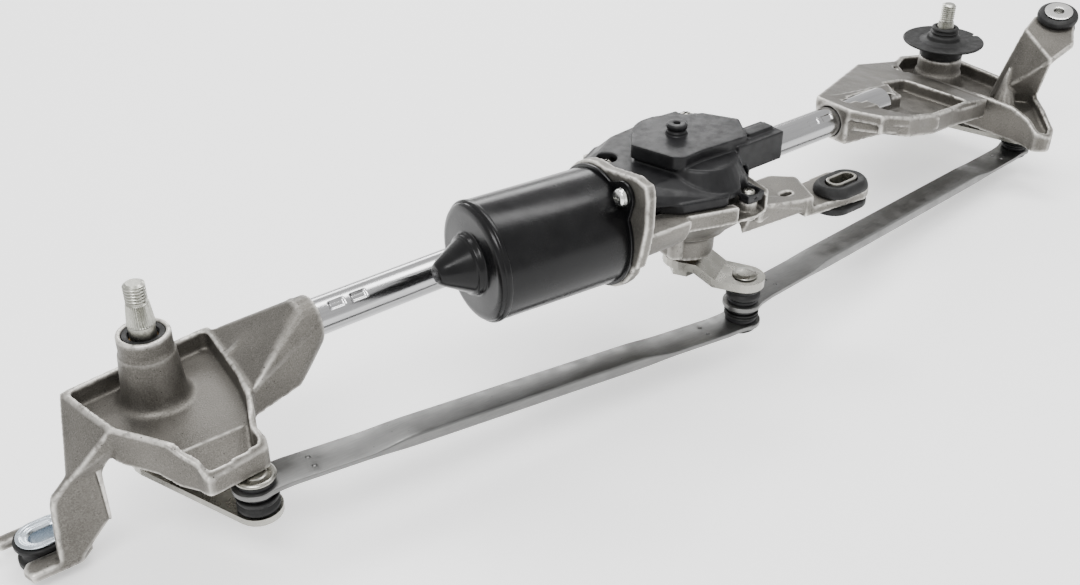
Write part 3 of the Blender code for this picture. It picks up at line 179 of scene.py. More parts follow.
def cast_metal(name, dark=(0.078, 0.073, 0.064), light=(0.150, 0.141, 0.126)):
    """Blasted die casting: warm grey, mottled, brighter where edges were fettled."""
    made = Surface(name, 0.82, 0.5)
    mottle = made.colours(made.span(made.noise(45, detail=6), 0.3, 0.7), dark, light)
    grit = made.span(made.noise(1500, detail=3), 0.35, 0.65)
    grain = made.colours(grit, (0.065, 0.06, 0.053), (0.21, 0.20, 0.182))
    mixed = made.colours(made.span(made.noise(420), 0.3, 0.75, 0.15, 0.6), mottle, grain)
    rubbed = made.times(made.edges(0.505, 0.545), made.span(made.noise(260), 0.25, 0.5))
    worn = made.colours(rubbed, mixed, (0.62, 0.6, 0.56))
    made.paint(made.colours(made.specks(210, 0.10), worn, (0.05, 0.045, 0.04)))
    made.gloss(made.span(made.noise(90), 0.3, 0.7, 0.40, 0.58))
    made.relief(made.noise(1300, detail=4), 0.00022, 0.55)
    made.relief(made.noise(160, detail=2), 0.0006, 0.25)
    return made.material


def plated(name, colour, roughness=0.28, stretch=(1, 1, 1), turn=0.0):
    """Zinc plate: bright, with faint clouds and fine handling marks."""
    made = Surface(name, 1.0, roughness)
    dull = tuple(0.8 * c for c in colour)
    clouds = made.colours(made.span(made.noise(70, stretch), 0.3, 0.75), colour, dull)
    streaks = made.span(made.noise(900, stretch, 3, turn), 0.35, 0.7, 0.0, 0.3)
    made.paint(made.colours(streaks, clouds, tuple(0.6 * c for c in colour)))
    made.gloss(made.span(made.noise(220, stretch), 0.3, 0.7, roughness * 0.75, roughness * 1.35))
    made.relief(made.noise(700, stretch, 3, turn), 0.00008, 0.35)
    return made.material


def strip_steel(name, turn):
    """Dull plated strip with rolling marks along it."""
    made = Surface(name, 0.95, 0.4)
    stretch = (0.04, 1, 1)
    base = made.colours(made.span(made.noise(50), 0.3, 0.7), (0.150, 0.150, 0.147), (0.180, 0.180, 0.176))
    lines = made.span(made.noise(1600, stretch, 4, turn), 0.3, 0.7, 0.0, 0.45)
    marked = made.colours(lines, base, (0.105, 0.105, 0.102))
    made.paint(made.colours(made.specks(150, 0.06), marked, (0.07, 0.07, 0.067)))
    made.gloss(made.span(made.noise(120), 0.3, 0.7, 0.30, 0.50))
    made.relief(made.noise(1500, stretch, 3, turn), 0.0001, 0.35)
    return made.material


def black_paint(name):
    """Baked black paint with a trace of orange peel."""
    made = Surface(name, 0.0, 0.24)
    made.shader.inputs["Specular IOR Level"].default_value = 0.2
    depth = made.span(made.noise(120), 0.3, 0.7)
    made.paint(made.colours(depth, (0.0015, 0.0015, 0.0018), (0.004, 0.004, 0.0043)))
    made.gloss(made.span(made.noise(60), 0.3, 0.7, 0.19, 0.3))
    made.relief(made.noise(420, detail=2), 0.0001, 0.2)
    made.relief(made.noise(2600, detail=2), 0.00003, 0.3)
    return made.material


def moulded(name, colour=(0.006, 0.006, 0.0065), roughness=0.4):
    """Moulded plastic with a fine spark-eroded texture."""
    made = Surface(name, 0.0, roughness)
    made.shader.inputs["Specular IOR Level"].default_value = 0.2
    paler = tuple(c * 1.5 + 0.002 for c in colour)
    made.paint(made.colours(made.span(made.noise(150), 0.35, 0.75), colour, paler))
    made.gloss(made.span(made.noise(240), 0.3, 0.7, roughness * 0.8, roughness * 1.2))
    made.relief(made.noise(2200, detail=2), 0.00008, 0.45)
    return made.material


def rubber(name):
    """Black rubber, a little dusty, with a dull moulded skin."""
    made = Surface(name, 0.0, 0.6)
    made.shader.inputs["Specular IOR Level"].default_value = 0.3
    dust = made.span(made.noise(190, detail=6), 0.45, 0.8)
    dusty = made.colours(dust, (0.005, 0.005, 0.005), (0.016, 0.016, 0.0155))
    made.paint(made.colours(made.specks(420, 0.08), dusty, (0.045, 0.045, 0.043)))
    made.gloss(made.span(made.noise(150), 0.3, 0.7, 0.45, 0.72))
    made.relief(made.noise(1100, detail=3), 0.00012, 0.5)
    return made.material


def machined(name, colour, roughness=0.3):
    """Turned or sintered metal: fine grain and slight staining."""
    made = Surface(name, 1.0, roughness)
    stain = made.colours(made.span(made.noise(140), 0.3, 0.75), colour, tuple(0.6 * c for c in colour))
    grain = made.span(made.noise(1500), 0.35, 0.7, 0, 0.5)
    made.paint(made.colours(grain, stain, tuple(0.4 * c for c in colour)))
    made.gloss(made.span(made.noise(300), 0.3, 0.7, roughness * 0.8, roughness * 1.3))
    made.relief(made.noise(1400, (1, 1, 6), 3), 0.00006, 0.4)
    return made.material


ZINC = (0.36, 0.352, 0.318)
MATERIALS = {
    "cast": cast_metal("cast_aluminium"),
    "case": cast_metal("cast_gear_case", (0.10, 0.095, 0.085), (0.185, 0.176, 0.158)),
    "tube": plated("zinc_tube", (0.42, 0.42, 0.425), 0.16, (0.05, 1, 1)),
    "black_paint": black_paint("black_paint"),
    "black_plastic": moulded("black_plastic"),
    "rubber": rubber("rubber"),
    "zinc": plated("zinc_plate", ZINC),
    "bright_zinc": plated("bright_zinc", (0.80, 0.80, 0.78), 0.2),
    "blue_zinc": plated("blue_zinc", (0.60, 0.66, 0.72), 0.24),
    "shaft": machined("turned_steel", (0.50, 0.50, 0.45), 0.3),
    "steel": machined("drawn_steel", (0.42, 0.42, 0.41), 0.35),
    "left_strip": strip_steel("left_strip_steel", -math.atan2(18.7, 288.4)),
    "right_strip": strip_steel("right_strip_steel", -math.atan2(50.6, 337.3)),
    "bronze": machined("sintered_bronze", (0.50, 0.33, 0.16), 0.45),
    "nylon": moulded("natural_nylon", (0.72, 0.69, 0.60), 0.45),
    "copper": machined("copper", (0.66, 0.33, 0.19), 0.32),
    "magnet": moulded("ferrite", (0.06, 0.06, 0.062), 0.65),
}


# Shapes, in datum millimetres


def axes(origin, x_axis, y_axis):
    """The frame at origin whose X and Y are given, and whose Z is square to both."""
    x, y = Vector(x_axis).normalized(), Vector(y_axis).normalized()
    made = Matrix((x, y, x.cross(y))).transposed().to_4x4()
    made.translation = Vector(origin)
    return made


def upright(x, y, z=0.0):
    return Matrix.Translation((x, y, z))


MOTOR_AXIS = Vector((math.cos(MOTOR_YAW), math.sin(MOTOR_YAW), 0))
MOTOR = axes(MOTOR_POINT, (-MOTOR_AXIS.y, MOTOR_AXIS.x, 0), (0, 0, 1))
ALONG_X = axes((0, 0, 0), (0, 1, 0), (0, 0, 1))
FOOT = axes(
    RIGHT_FOOT, (1, 0, FOOT_RISE[0]), (-FOOT_RISE[0] * FOOT_RISE[1], 1 + FOOT_RISE[0] ** 2, FOOT_RISE[1])
)
DOWN = axes((0, 0, 0), (1, 0, 0), (0, -1, 0))  # Z turned over


def as_object(name, bm, where=None, sharp=40):
    """An object from bm, whose points are millimetres in the frame where."""
    bmesh.ops.transform(bm, matrix=PLACED @ (where or Matrix()), verts=bm.verts)
    bmesh.ops.recalc_face_normals(bm, faces=bm.faces)
    mesh = bpy.data.meshes.new(name)
    bm.to_mesh(mesh)
    bm.free()
    mesh.shade_smooth()
    mesh.set_sharp_from_angle(angle=math.radians(sharp))
    made = bpy.data.objects.new(name, mesh)
    bpy.context.scene.collection.objects.link(made)
    return made


def softened(points, radius=0.5, steps=2, closed=False):
    """The profile with each corner turned into a small arc."""
    made = []
    count = len(points)
    for i, point in enumerate(points):
        corner = Vector(point)
        if not closed and i in (0, count - 1):
            made.append(tuple(corner))
            continue
        back, ahead = Vector(points[i - 1]) - corner, Vector(points[(i + 1) % count]) - corner
        reach = min(radius, back.length * 0.4, ahead.length * 0.4)
        start, end = corner + reach * back.normalized(), corner + reach * ahead.normalized()
        for step in range(steps + 1):
            t = step / steps
            made.append(tuple((1 - t) ** 2 * start + 2 * t * (1 - t) * corner + t * t * end))
    return made


def turned(name, rows, where, segments=72, straight=0.0, closed=False, sharp=40):
    """Sweeps rows of (radius, height) round Z. A radius may be a function of the angle.

    straight is half the straight run along X between two half circles, for an oval piece, and closed
    joins the last row to the first.
    """
    bm = bmesh.new()
    rings = []
    for radius, height in rows:
        if radius == 0:
            rings.append([bm.verts.new((0, 0, height))])
            continue
        ring = []
        for i in range(segments):
            angle = 2 * math.pi * i / segments
            reach = radius(angle) if callable(radius) else radius
            side = math.copysign(straight, math.cos(angle)) if straight else 0.0
            ring.append(bm.verts.new((reach * math.cos(angle) + side, reach * math.sin(angle), height)))
        rings.append(ring)
    pairs = list(zip(rings, rings[1:])) + ([(rings[-1], rings[0])] if closed else [])
    for one, other in pairs:
        for i in range(segments):
            k = (i + 1) % segments
            corners = [one[i % len(one)], one[k % len(one)], other[k % len(other)], other[i % len(other)]]
            bm.faces.new(list(dict.fromkeys(corners)))
    return as_object(name, bm, where, sharp)


def plate(name, outline, low, high, where=None, bevel=0.5):
    """The outline as a slab from low to high, its edges rounded over."""
    bm = bmesh.new()
    face = bm.faces.new([bm.verts.new((x, y, low)) for x, y in outline])
    moved = bmesh.ops.extrude_face_region(bm, geom=[face])["geom"]
    raised = [v for v in moved if isinstance(v, bmesh.types.BMVert)]
    bmesh.ops.translate(bm, vec=(0, 0, high - low), verts=raised)
    bmesh.ops.recalc_face_normals(bm, faces=bm.faces)
    if bevel:
        rim = [e for e in bm.edges if abs(e.verts[0].co.z - e.verts[1].co.z) < 0.001]
        bmesh.ops.bevel(bm, geom=rim, offset=bevel, segments=2, affect="EDGES", profile=0.5)
    return as_object(name, bm, where)


def hull(name, points):
    bm = bmesh.new()
    for point in points:
        bm.verts.new(point)
    made = bmesh.ops.convex_hull(bm, input=bm.verts)
    spare = dict.fromkeys(made["geom_interior"] + made["geom_unused"])
    loose = [part for part in spare if isinstance(part, bmesh.types.BMVert)]
    bmesh.ops.delete(bm, geom=loose, context="VERTS")
    return as_object(name, bm)


def bar(*corners):
    """A straight rib between two boxes, each given by its lowest and highest corner."""
    points = []
    for low, high in (corners[:2], corners[2:]):
        points += [(x, y, z) for x in {low[0], high[0]} for y in {low[1], high[1]} for z in {low[2], high[2]}]
    return hull("rib", sorted(points))


def arc(centre, radius, start, end, steps):
    """Points on an arc, angles in degrees."""
    made = []
    for i in range(steps + 1):
        angle = math.radians(start + (end - start) * i / steps)
        made.append((centre[0] + radius * math.cos(angle), centre[1] + radius * math.sin(angle)))
    return made


def applied(piece):
    """Makes the piece's modifiers part of its mesh."""
    graph = bpy.context.evaluated_depsgraph_get()
    mesh = bpy.data.meshes.new_from_object(piece.evaluated_get(graph))
    piece.modifiers.clear()
    piece.data = mesh
    return piece


def cut(piece, *cutters):
    """Takes the cutters out of the piece and removes them."""
    for cutter in cutters:
        modifier = piece.modifiers.new("cut", "BOOLEAN")
        modifier.object = cutter
        modifier.solver = "EXACT"
    applied(piece)
    piece.data.shade_smooth()
    piece.data.set_sharp_from_angle(angle=math.radians(35))
    for cutter in cutters:
        bpy.data.objects.remove(cutter)
    return piece


def dressed(piece, look, node=None, body="frame"):
    """Gives a new piece its material, its body and, where it stands for a CAD node, that node's place."""
    piece.data.materials.clear()
    piece.data.materials.append(MATERIALS[look])
    if node:
        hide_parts(node)
    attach(piece, NODE_BODY[node] if node else body)
    return piece


# Castings: the CAD shape with its ribs, pads and fillets run together as metal is in a mould


def moulded_from(node, voxel, passes, extras=()):
    """A copy of the CAD node with extra shapes melted into it and its edges rounded as in a casting."""
    source = frame["nodes"][node]
    mesh = source.data.copy()
    piece = bpy.data.objects.new("cast_" + node, mesh)
    bpy.context.scene.collection.objects.link(piece)
    if extras:
        bm = bmesh.new()
        bm.from_mesh(mesh)
        for extra in extras:
            bm.from_mesh(extra.data)
            bpy.data.objects.remove(extra)
        bm.to_mesh(mesh)
        bm.free()
    remesh = piece.modifiers.new("melt", "REMESH")
    remesh.mode = "VOXEL"
    remesh.voxel_size = voxel / 1000
    smooth = piece.modifiers.new("soften", "SMOOTH")
    smooth.factor = 0.5
    smooth.iterations = passes
    applied(piece)
    piece.data.shade_smooth()
    return piece


def left_casting():
    """Ribs from the tray to the tube socket and along the leg."""
    ribs = [
        bar((34, 8, -20), (34, 11, -8), (72, 8, -3), (72, 11, 9)),
        bar((34, -12, -20), (34, -9, -9), (68, -11, -12), (68, -8, 3)),
        bar((-38, -6, -34), (-35.5, -3, -32), (-37, -5, -62), (-35.5, -3, -58)),
    ]
    return dressed(moulded_from("left_housing", 0.85, 5, ribs), "cast", "left_housing")


def right_casting():
    ribs = [
        bar((462, -30, -3), (462, -27, 9), (520, -33, -14), (520, -30, -6)),
        bar((606, -4, -38), (609, -4, -24), (606, 40, -38), (609, 40, -24)),
    ]
    return dressed(moulded_from("right_housing", 0.95, 5, ribs), "cast", "right_housing")


def gear_casting():
    return dressed(moulded_from("gear_housing", 0.8, 4), "case", "gear_housing")


def cover():
    """Moulded cover with its grooved post, whose top is hollow."""
    x, y, seat = 277.0, -37.0, 54.0
    room = turned("room", [(0, 66), (7.5, 66), (7.5, seat), (0, seat)], upright(x, y), 64)
    dressed(cut(moulded_from("gear_cover", 0.65, 3), room), "black_plastic", "gear_cover")
    post = [
        (0, 57.4), (1.5, 57.4), (1.9, 59.9), (4.7, 59.95), (5.5, 59.3), (5.5, 57.7), (4.8, 57.2), (4.8, 56.1),
        (5.5, 55.6), (5.5, 54.6), (6.2, seat), (6.2, seat - 0.6), (0, seat - 0.6),
    ]  # fmt: skip
    made = dressed(turned("cover_post", softened(post, 0.3), upright(x, y), 72), "black_plastic")


# Cross tube and pivot shafts


def tube():
    start, end, radius, wall = 68.0, 497.0, 9.5, 1.5
    marks = (84.0, 96.0, 422.0, 434.0)

    def reach_at(x):
        near = min(abs(x - 4.0 - mark) for mark in marks)
        depth = 0.9 * max(0.0, min(1.0, (4.4 - near) / 0.8))

        def reach(angle):
            off = abs((math.degrees(angle) - 128 + 180) % 360 - 180) * math.radians(1) * radius
            return radius - depth * max(0.0, min(1.0, (2.2 - off) / 0.6))

        return reach if depth else radius

    stations = [start, start + 0.4]
    for first in (82.0, 420.0):
        stations += [first - 6 + 0.5 * i for i in range(84)]
    stations = sorted(stations + [150.0, 250.0, 350.0, end - 0.4])
    rows = [(reach_at(x), x) for x in stations]
    rows += [(radius, end), (radius - wall, end), (radius - wall, start)]
    return dressed(turned("zinc_cross_tube", rows, ALONG_X, 120, closed=True, sharp=60), "tube", "cross_tube")


def shaft(side, place, top, thread_low, knurl_low, lever_top):
    """Arm spindle: M10 thread, knurled taper for the arm, then the plain journal down to the lever."""
    pitch, crest, root = 1.5, 5.0, 4.15
    rows = [(0, top), (3.4, top), (4.1, top - 0.5)]

    def thread(height):
        def reach(angle):
            phase = (height / pitch + angle / (2 * math.pi)) % 1.0
            return root + (crest - root) * min(1.0, 1.35 * (1 - abs(2 * phase - 1)))

        return reach

    count = int((top - 0.9 - thread_low) / (pitch / 8))
    rows += [(thread(top - 0.9 - i * pitch / 8), top - 0.9 - i * pitch / 8) for i in range(count)]
    rows += [(4.3, thread_low + 0.1), (4.3, thread_low - 0.4)]
    teeth = 36

    def knurl(radius, depth):
        return lambda angle: radius - depth * abs(math.sin(angle * teeth / 2))

    low = knurl_low + 2.0
    rows += [(knurl(5.1, 0.15), thread_low - 0.9), (knurl(5.4, 0.75), thread_low - 1.4)]
    rows += [(knurl(6.45, 0.75), low + 0.6), (knurl(6.45, 0.1), low)]
    rows += [(6.0, low - 0.5), (6.0, lever_top + 1.0), (7.3, lever_top + 0.9), (7.4, lever_top + 0.4)]
    rows += [(6.0, lever_top + 0.4), (6.0, lever_top - 4.8), (5.4, lever_top - 5.0), (0, lever_top - 5.0)]
    made = turned(side + "_spindle", rows, upright(*place), 176, sharp=35)
    return dressed(made, "shaft", side + "_pivot_shaft")


# Motor


def motor():
    profile = [
        (0, -42.9), (CAN_RADIUS, -42.9), (CAN_RADIUS, -109.5), (28.3, -112.6), (25.5, -113.5), (15.2, -113.5),
        (14.6, -116.7), (13.2, -117.4), (6.4, -129.8), (4.6, -132.2), (0, -132.6),
    ]  # fmt: skip
    can = turned("painted_can", softened(profile, 1.4, 4), MOTOR, 128, sharp=50)
    dressed(can, "black_paint", "motor_can")
    outline = []
    for px, py in MOTOR_SCREWS:
        heading = math.degrees(math.atan2(py, px))
        outline += arc((px, py), 7.5, heading - 75, heading + 75, 16)
        outline += arc((0, 0), 31.0, heading + 20, heading + 160, 40)
    flange = plate("can_flange", outline, CAN_FRONT - 1.8, CAN_FRONT, MOTOR, 0.35)
    drill = [(0, 5), (2.4, 5), (2.4, -5), (0, -5)]
    holes = [turned("hole", drill, MOTOR @ upright(*at, CAN_FRONT), 32) for at in MOTOR_SCREWS]
    dressed(cut(flange, *holes), "black_paint")
    bead = [(29.3, -108.0), (29.9, -108.6), (29.9, -110.4), (28.9, -111.4), (28.6, -108.6)]
    bead = softened(bead, 0.5, 3, closed=True)
    dressed(turned("can_bead", bead, MOTOR, 128, closed=True), "black_paint")


# Fasteners


def screw(name, where, head_radius, shank_radius, length, washer, look="bright_zinc"):
    """Pan head with a cross recess, a washer face and a shank."""
    head = [
        (0, 3.8), (head_radius * 0.45, 3.7), (head_radius * 0.8, 3.2), (head_radius, 2.2), (head_radius, 0.9),
        (washer, 0.9), (washer, 0), (shank_radius, 0), (shank_radius, -length), (0, -length),
    ]  # fmt: skip
    body = turned(name + "_head", softened(head, 0.25), where, 48)
    blade = [(-2.3, -0.45), (-0.45, -0.45), (-0.45, -2.3), (0.45, -2.3), (0.45, -0.45), (2.3, -0.45)]
    blade += [(-x, -y) for x, y in blade]
    recess = plate("recess", blade, 2.0, 6.0, where @ Matrix.Rotation(0.2, 4, "Z"), 0)
    return dressed(cut(body, recess), look, name)


def screws():
    for name, (px, py) in zip(("motor_screw_rear", "motor_screw_front"), MOTOR_SCREWS):
        screw(name, MOTOR @ upright(px, py, CAN_FRONT - 1.8 - GAP) @ DOWN, 4.2, 1.9, 6.5, 4.6)
    for name, (x, y, z) in COVER_SCREWS.items():
        screw("cover_screw_" + name, upright(x, y, z), 3.6, 1.5, 9.0 if name == "front" else 9.5, 4.3, "zinc")
    for name, x in CLAMP_SCREWS.items():
        screw("clamp_screw_" + name, upright(x, 16.6, -2.6) @ DOWN, 3.6, 1.9, 14.0, 3.2, "zinc")


# Rubber


def seals():
    lip = [(9.7, 17.2), (9.7, 14.5), (6.9, 14.5), (6.9, 15.2), (8.1, 15.6), (7.1, 17.0)]
    lip = softened(lip, 0.3, 3, closed=True)
    dressed(turned("left_pivot_seal", lip, upright(*LEFT_PIVOT), 96, closed=True), "rubber", "left_seal")
    notch_at = math.atan2(-9.5, 27.5)

    def notched(radius):
        def reach(angle):
            off = abs((angle - notch_at + math.pi) % (2 * math.pi) - math.pi)
            return radius - 3.4 * max(0.0, 1 - (off / 0.09) ** 4)

        return reach

    profile = softened([
        (8.0, 8.2), (9.3, 7.8), (9.9, 6.6), (8.5, 5.5), (10.3, 4.3), (9.1, 3.1), (11.5, 1.6), (12.0, -1.2),
        (17.0, -2.6), (27.6, -1.6), (28.9, -2.2), (28.5, -3.4), (20.0, -4.6), (15.4, -5.0), (15.4, -13.7),
        (9.0, -13.7), (9.0, 2.0), (6.9, 4.0), (6.9, 8.2),
    ], 0.6, 3, closed=True)  # fmt: skip
    rows = [(notched(r) if r > 24 else r, h) for r, h in profile]
    boot = turned("right_pivot_boot", rows, upright(*RIGHT_PIVOT), 192, closed=True, sharp=50)
    dressed(boot, "rubber", "right_boot")


def feet():
    x, y = LEFT_FOOT
    left = [
        (11.5, -72.6), (11.5, -75.2), (8.6, -75.6), (8.6, -81.6), (10.9, -82.2), (10.9, -85.6), (10.2, -86.2),
        (6.3, -86.2), (6.3, -72.6),
    ]  # fmt: skip
    made = turned("left_foot_rubber", softened(left, 0.8, 3, True), upright(x, y), 96, 3.5, True)
    dressed(made, "rubber", "left_grommet")
    cup = [
        (10.0, -72.2), (10.0, -71.2), (8.2, -71.0), (7.2, -71.8), (5.6, -71.9), (4.2, -73.0), (4.2, -87.0),
        (6.0, -87.0), (6.0, -73.4), (6.9, -72.4),
    ]  # fmt: skip
    made = turned("left_foot_cup", softened(cup, 0.5, 3, True), upright(x, y), 96, 3.4, True)
    dressed(made, "blue_zinc", "left_foot_washer")
    x, y = CENTRE_FOOT
    pad = [
        (9.0, 16.0), (10.6, 14.4), (11.5, 12.2), (11.5, 10.4), (6.0, 10.2), (6.0, 4.3), (11.5, 4.1),
        (11.5, 0.9), (10.6, 0.0), (5.3, 0.0), (5.3, 15.4),
    ]  # fmt: skip
    made = turned("centre_foot_rubber", softened(pad, 0.7, 3, True), upright(x, y), 96, 5.5, True)
    dressed(made, "rubber", "centre_grommet")
    tube_rows = softened([(5.0, -2.0), (5.0, 16.6), (3.4, 16.6), (3.4, -2.0)], 0.3, 2, True)
    dressed(turned("centre_foot_sleeve", tube_rows, upright(x, y), 96, 5.0, True), "zinc", "centre_sleeve")
    ring = [
        (11.0, 6.0), (13.4, 5.0), (14.0, 2.6), (13.4, GAP), (7.9, GAP), (7.9, -4.3), (13.0, -4.3),
        (13.6, -7.0), (12.0, -9.0), (5.8, -9.0), (5.8, 6.0),
    ]  # fmt: skip
    made = turned("right_foot_rubber", softened(ring, 0.7, 3, True), FOOT, 96, closed=True)
    dressed(made, "rubber", "right_grommet")
    washer = [(9.5, 7.2), (9.5, 6.3), (5.5, 6.3), (5.5, -9.8), (3.6, -9.8), (3.6, 7.2)]
    washer = softened(washer, 0.3, 2, True)
    dressed(turned("right_foot_sleeve", washer, FOOT, 96, closed=True), "bright_zinc", "right_sleeve")


# Links: strip rods, ball sockets, boots and studs


def rod(name, node, start, end, start_z, end_z, look):
    """Strip with round flat eyes and a deeper boxed middle, swept through sections along its length."""
    start, end = Vector(start), Vector(end)
    length = (end - start).length
    heading = (end - start).normalized()
    flat, thick, eye = 16.0, 2.6, 11.0

    def half_width(x):
        off = max(-x, x - length, 0.0)
        round_end = math.sqrt(max(eye * eye - off * off, 0.05)) if off else eye
        inward = min(max(x, 0.0), max(length - x, 0.0))
        neck = 9.5 + (eye - 9.5) * max(0.0, 1 - inward / 9.0) ** 2
        return min(round_end, neck)

    def mid_height(x):
        t = min(1.0, max(0.0, (x - flat) / (length - 2 * flat)))
        return start_z + (end_z - start_z) * t

    def depth(x):
        """How much the middle of the strip is boxed: 0 in the flat ends, 1 between the steps."""
        inward = min(x, length - x)
        t = min(1.0, max(0.0, (inward - 52.0) / 26.0))
        return t * t * (3 - 2 * t)

    ends = [-eye + 0.02, -10.8, -10.3, -9.5, -8.5, -7, -5, -2.5, 0, 3, 6, 9, 12, 16]
    middle = [16 + (length - 32) * i / 60 for i in range(1, 60)]
    stations = ends + middle + [length - x for x in reversed(ends)]
    bm = bmesh.new()
    rings = []
    for x in stations:
        deep = depth(x)
        wide = half_width(x) - 0.9 * deep
        top, low = thick / 2 + 2.2 * deep, -thick / 2 - 2.2 * deep
        soft = min(0.5 + 0.9 * deep, wide * 0.4)
        ring = []
        right, left, upper, lower = wide - soft, soft - wide, top - soft, low + soft
        corners = ((right, upper, 0), (left, upper, 90), (left, lower, 180), (right, lower, 270))
        for cx, cz, first in corners:
            ring += arc((cx, cz), soft, first, first + 90, 3)
        place = Vector((*start, mid_height(x))) + x * Vector((*heading, 0))
        side = Vector((-heading.y, heading.x, 0))
        rings.append([bm.verts.new(place + side * px + Vector((0, 0, pz))) for px, pz in ring])
    count = len(rings[0])
    for one, other in zip(rings, rings[1:]):
        for i in range(count):
            bm.faces.new([one[i], one[(i + 1) % count], other[(i + 1) % count], other[i]])
    bm.faces.new(rings[0])
    bm.faces.new(rings[-1])
    made = as_object(name, bm, None, 35)
    eye_cut = [(0, -100), (7.8, -100), (7.8, 0), (0, 0)]
    cutters = [turned("eye", eye_cut, upright(*point), 64) for point in (start, end)]
    dimple = [(0, -1.0), (0.9, -0.8), (1.4, 0.0), (1.6, 0.8), (0, 0.8)]
    for x in (27.0, length - 27.0):
        for off in (-3.5, 3.5):
            point = start + x * heading + off * Vector((-heading.y, heading.x))
            cutters.append(turned("dimple", dimple, upright(*point, mid_height(x) + thick / 2 + 0.1), 24))
    return dressed(cut(made, *cutters), look, node)


def ball_joint(name, place, height, closed_end, body):
    """Moulded socket in a link's eye, closed by a dome above or below where closed_end is 1 or -1."""
    turn = closed_end or 1
    half = 4.4
    shell = [(7.8, half), (8.8, half - 0.6), (8.8, 1.6), (7.5, 1.6)]
    shell += [(7.5, -1.6), (8.8, -1.6), (8.8, 0.6 - half), (7.8, -half)]
    inside = arc((0, 0), 5.6, -40, 90 if closed_end else 40, 10)
    if closed_end:
        rows = [(0, half + 2.2), (4.0, half + 2.0), (6.6, half + 1.2), (7.4, half + 0.3)] + shell
        rows += [(4.8, -half)] + inside[:-1] + [(0, 5.6)]
        made = turned(name, [(r, height + turn * h) for r, h in softened(rows, 0.4)], upright(*place), 64)
    else:
        rows = softened(shell + [(4.8, -half)] + inside + [(4.8, half)], 0.4, 2, True)
        made = turned(name, [(r, height + h) for r, h in rows], upright(*place), 64, closed=True)
    return dressed(made, "black_plastic", body)


def bellows(name, node, place, low, high, outer):
    """Rubber boot round a ball stud's neck: a lip at each end and a waist between."""
    middle = (low + high) / 2
    tall = high - low
    rows = [(outer, high), (outer, high - 0.25 * tall), (outer - 1.6, middle)]
    rows += [(outer, low + 0.25 * tall), (outer, low), (6.6, low), (6.6, high)]
    made = turned(name, softened(rows, 0.5, 3, True), upright(*place), 72, closed=True)
    return dressed(made, "rubber", node)


def links():
    right_at_crank, left_at_crank, left_at_lever, right_at_lever = -45.0, -57.0, -38.0, -69.5
    for side, ball, at_crank, at_lever in (
        ("left", LEFT_BALL, left_at_crank, left_at_lever),
        ("right", RIGHT_BALL, right_at_crank, right_at_lever),
    ):
        strip = side + "_strip"
        rod(strip + "_rod", side + "_link_rod", CRANK_BALL, ball, at_crank, at_lever, strip)
    ball_joint("left_socket_at_crank", CRANK_BALL, left_at_crank, -1, "left_link_crank_socket")
    ball_joint("right_socket_at_crank", CRANK_BALL, right_at_crank, 0, "right_link_crank_socket")
    ball_joint("left_socket_at_lever", LEFT_BALL, left_at_lever, 0, "left_link_lever_socket")
    ball_joint("right_socket_at_lever", RIGHT_BALL, right_at_lever, -1, "right_link_lever_socket")
    between = (left_at_crank + 4.7, right_at_crank - 4.7)
    bellows("left_boot_at_crank", "left_link_crank_boot", CRANK_BALL, *between, 9.6)
    bellows("right_boot_at_crank", "right_link_crank_boot", CRANK_BALL, right_at_crank + 4.7, -33.6, 9.6)
    bellows("left_boot_at_lever", "left_link_lever_boot", LEFT_BALL, -49.4, left_at_lever - 4.7, 10.0)
    bellows("right_boot_at_lever", "right_link_lever_boot", RIGHT_BALL, right_at_lever + 4.7, -61.5, 9.6)
    cap = [(0, -31.2), (5.0, -31.2), (5.6, -31.6), (7.2, -31.6)]
    cap += [(8.6, -31.5), (9.6, -32.2), (9.8, -33.1), (0, -33.1)]
    dressed(turned("left_cap_disc", softened(cap, 0.3), upright(*LEFT_BALL), 72), "zinc", "left_link_cap")


def rivets():
    head = softened([(0, -25.9), (4.5, -26.2), (6.6, -27.0), (7.0, -27.6), (4.0, -27.7)], 0.4, 3)
    neck = [(4.0, -33.3), (6.0, -33.3), (6.0, -35.0), (3.2, -35.6)]
    balls = [(3.2, -41.2), *[(r, -45 + h) for r, h in arc((0, 0), 5.0, 50, -50, 10)], (3.2, -48.9)]
    balls += [(3.2, -53.1), *[(r, -57 + h) for r, h in arc((0, 0), 5.0, 50, -84, 12)], (0, -62.0)]
    stud = turned("crank_double_ball", head + neck + balls, upright(*CRANK_BALL), 64)
    dressed(stud, "zinc", "crank_ball_stud")


# Pieces that keep their CAD shape


def kept():
    """Softens the edges of the crank arm, levers and tube clamp, and gives every CAD piece a finished
    material.
    """
    looks = {
        "zinc": "zinc", "steel": "steel", "bronze": "bronze", "nylon": "nylon", "copper": "copper",
        "magnet": "magnet", "cast": "cast", "tube": "tube", "black_paint": "black_paint",
        "black_plastic": "black_plastic", "rubber": "rubber",
    }  # fmt: skip
    for node, piece in frame["nodes"].items():
        piece.data.materials.clear()
        piece.data.materials.append(MATERIALS[looks[NODE_SLOT[node]]])
        if node in ("crank_arm", "left_lever", "right_lever", "tube_clamp"):
            bevel = piece.modifiers.new("edges", "BEVEL")
            bevel.width = 0.0005
            bevel.segments = 3
            bevel.limit_method = "ANGLE"
            bevel.angle_limit = math.radians(40)


# Stage, light and camera


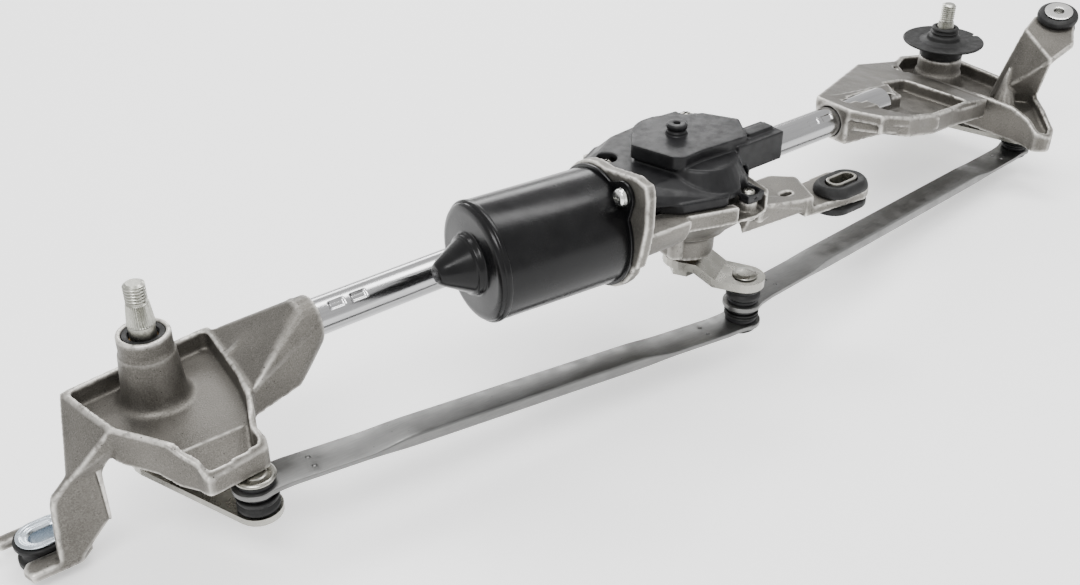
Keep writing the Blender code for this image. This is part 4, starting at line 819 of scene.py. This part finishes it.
def studio():
    floor_height = CAD_BOUNDS[0][2] - 0.0005
    bpy.ops.mesh.primitive_plane_add(size=12, location=(0, 0, floor_height))
    floor = bpy.context.object
    floor.name = "floor"
    pale = Surface("floor_paper", 0.0, 0.75)
    pale.paint(pale.colours(pale.noise(2.0), (0.93, 0.93, 0.93), (0.95, 0.95, 0.95)))
    pale.shader.inputs["Emission Color"].default_value = (1, 1, 1, 1)
    pale.shader.inputs["Emission Strength"].default_value = 0.5
    floor.data.materials.append(pale.material)
    world = bpy.data.worlds.new("studio")
    world.use_nodes = True
    world.node_tree.nodes["Background"].inputs["Color"].default_value = (1, 1, 1, 1)
    world.node_tree.nodes["Background"].inputs["Strength"].default_value = 1.15
    bpy.context.scene.world = world
    for name, place, aim, size, power in (
        ("key", (-0.9, -0.7, 1.5), (0, 0, 0), (1.0, 0.5), 26.0),
        ("top", (0.4, 0.3, 1.6), (0, 0, 0), (1.6, 0.35), 24.0),
        ("rear", (0.6, 1.5, 0.7), (0, 0, 0), (1.4, 0.4), 14.0),
    ):
        lamp = bpy.data.lights.new(name, "AREA")
        lamp.shape = "RECTANGLE"
        lamp.size, lamp.size_y = size
        lamp.energy = power
        light = bpy.data.objects.new(name, lamp)
        light.location = place
        light.rotation_euler = (Vector(aim) - Vector(place)).to_track_quat("-Z", "Y").to_euler()
        bpy.context.scene.collection.objects.link(light)


def camera():
    """Seen from the left and above, as far as a hand-held close view."""
    data = bpy.data.cameras.new("camera")
    data.lens = 41.67
    data.sensor_width = 36
    data.clip_start = 0.01
    made = bpy.data.objects.new("camera", data)
    azimuth, down = math.radians(-37.84), math.radians(32.22)
    made.rotation_euler = (math.pi / 2 - down, 0, azimuth)
    made.location = (-0.5103, -0.3855, 0.3330)
    bpy.context.scene.collection.objects.link(made)
    bpy.context.scene.camera = made


kept()
left_casting()
right_casting()
gear_casting()
cover()
tube()
shaft("left", LEFT_PIVOT, 43.7, 34.3, 20.7, -50.0)
shaft("right", RIGHT_PIVOT, 25.1, 13.1, 3.4, -57.4)
motor()
screws()
seals()
feet()
links()
rivets()
studio()
camera()
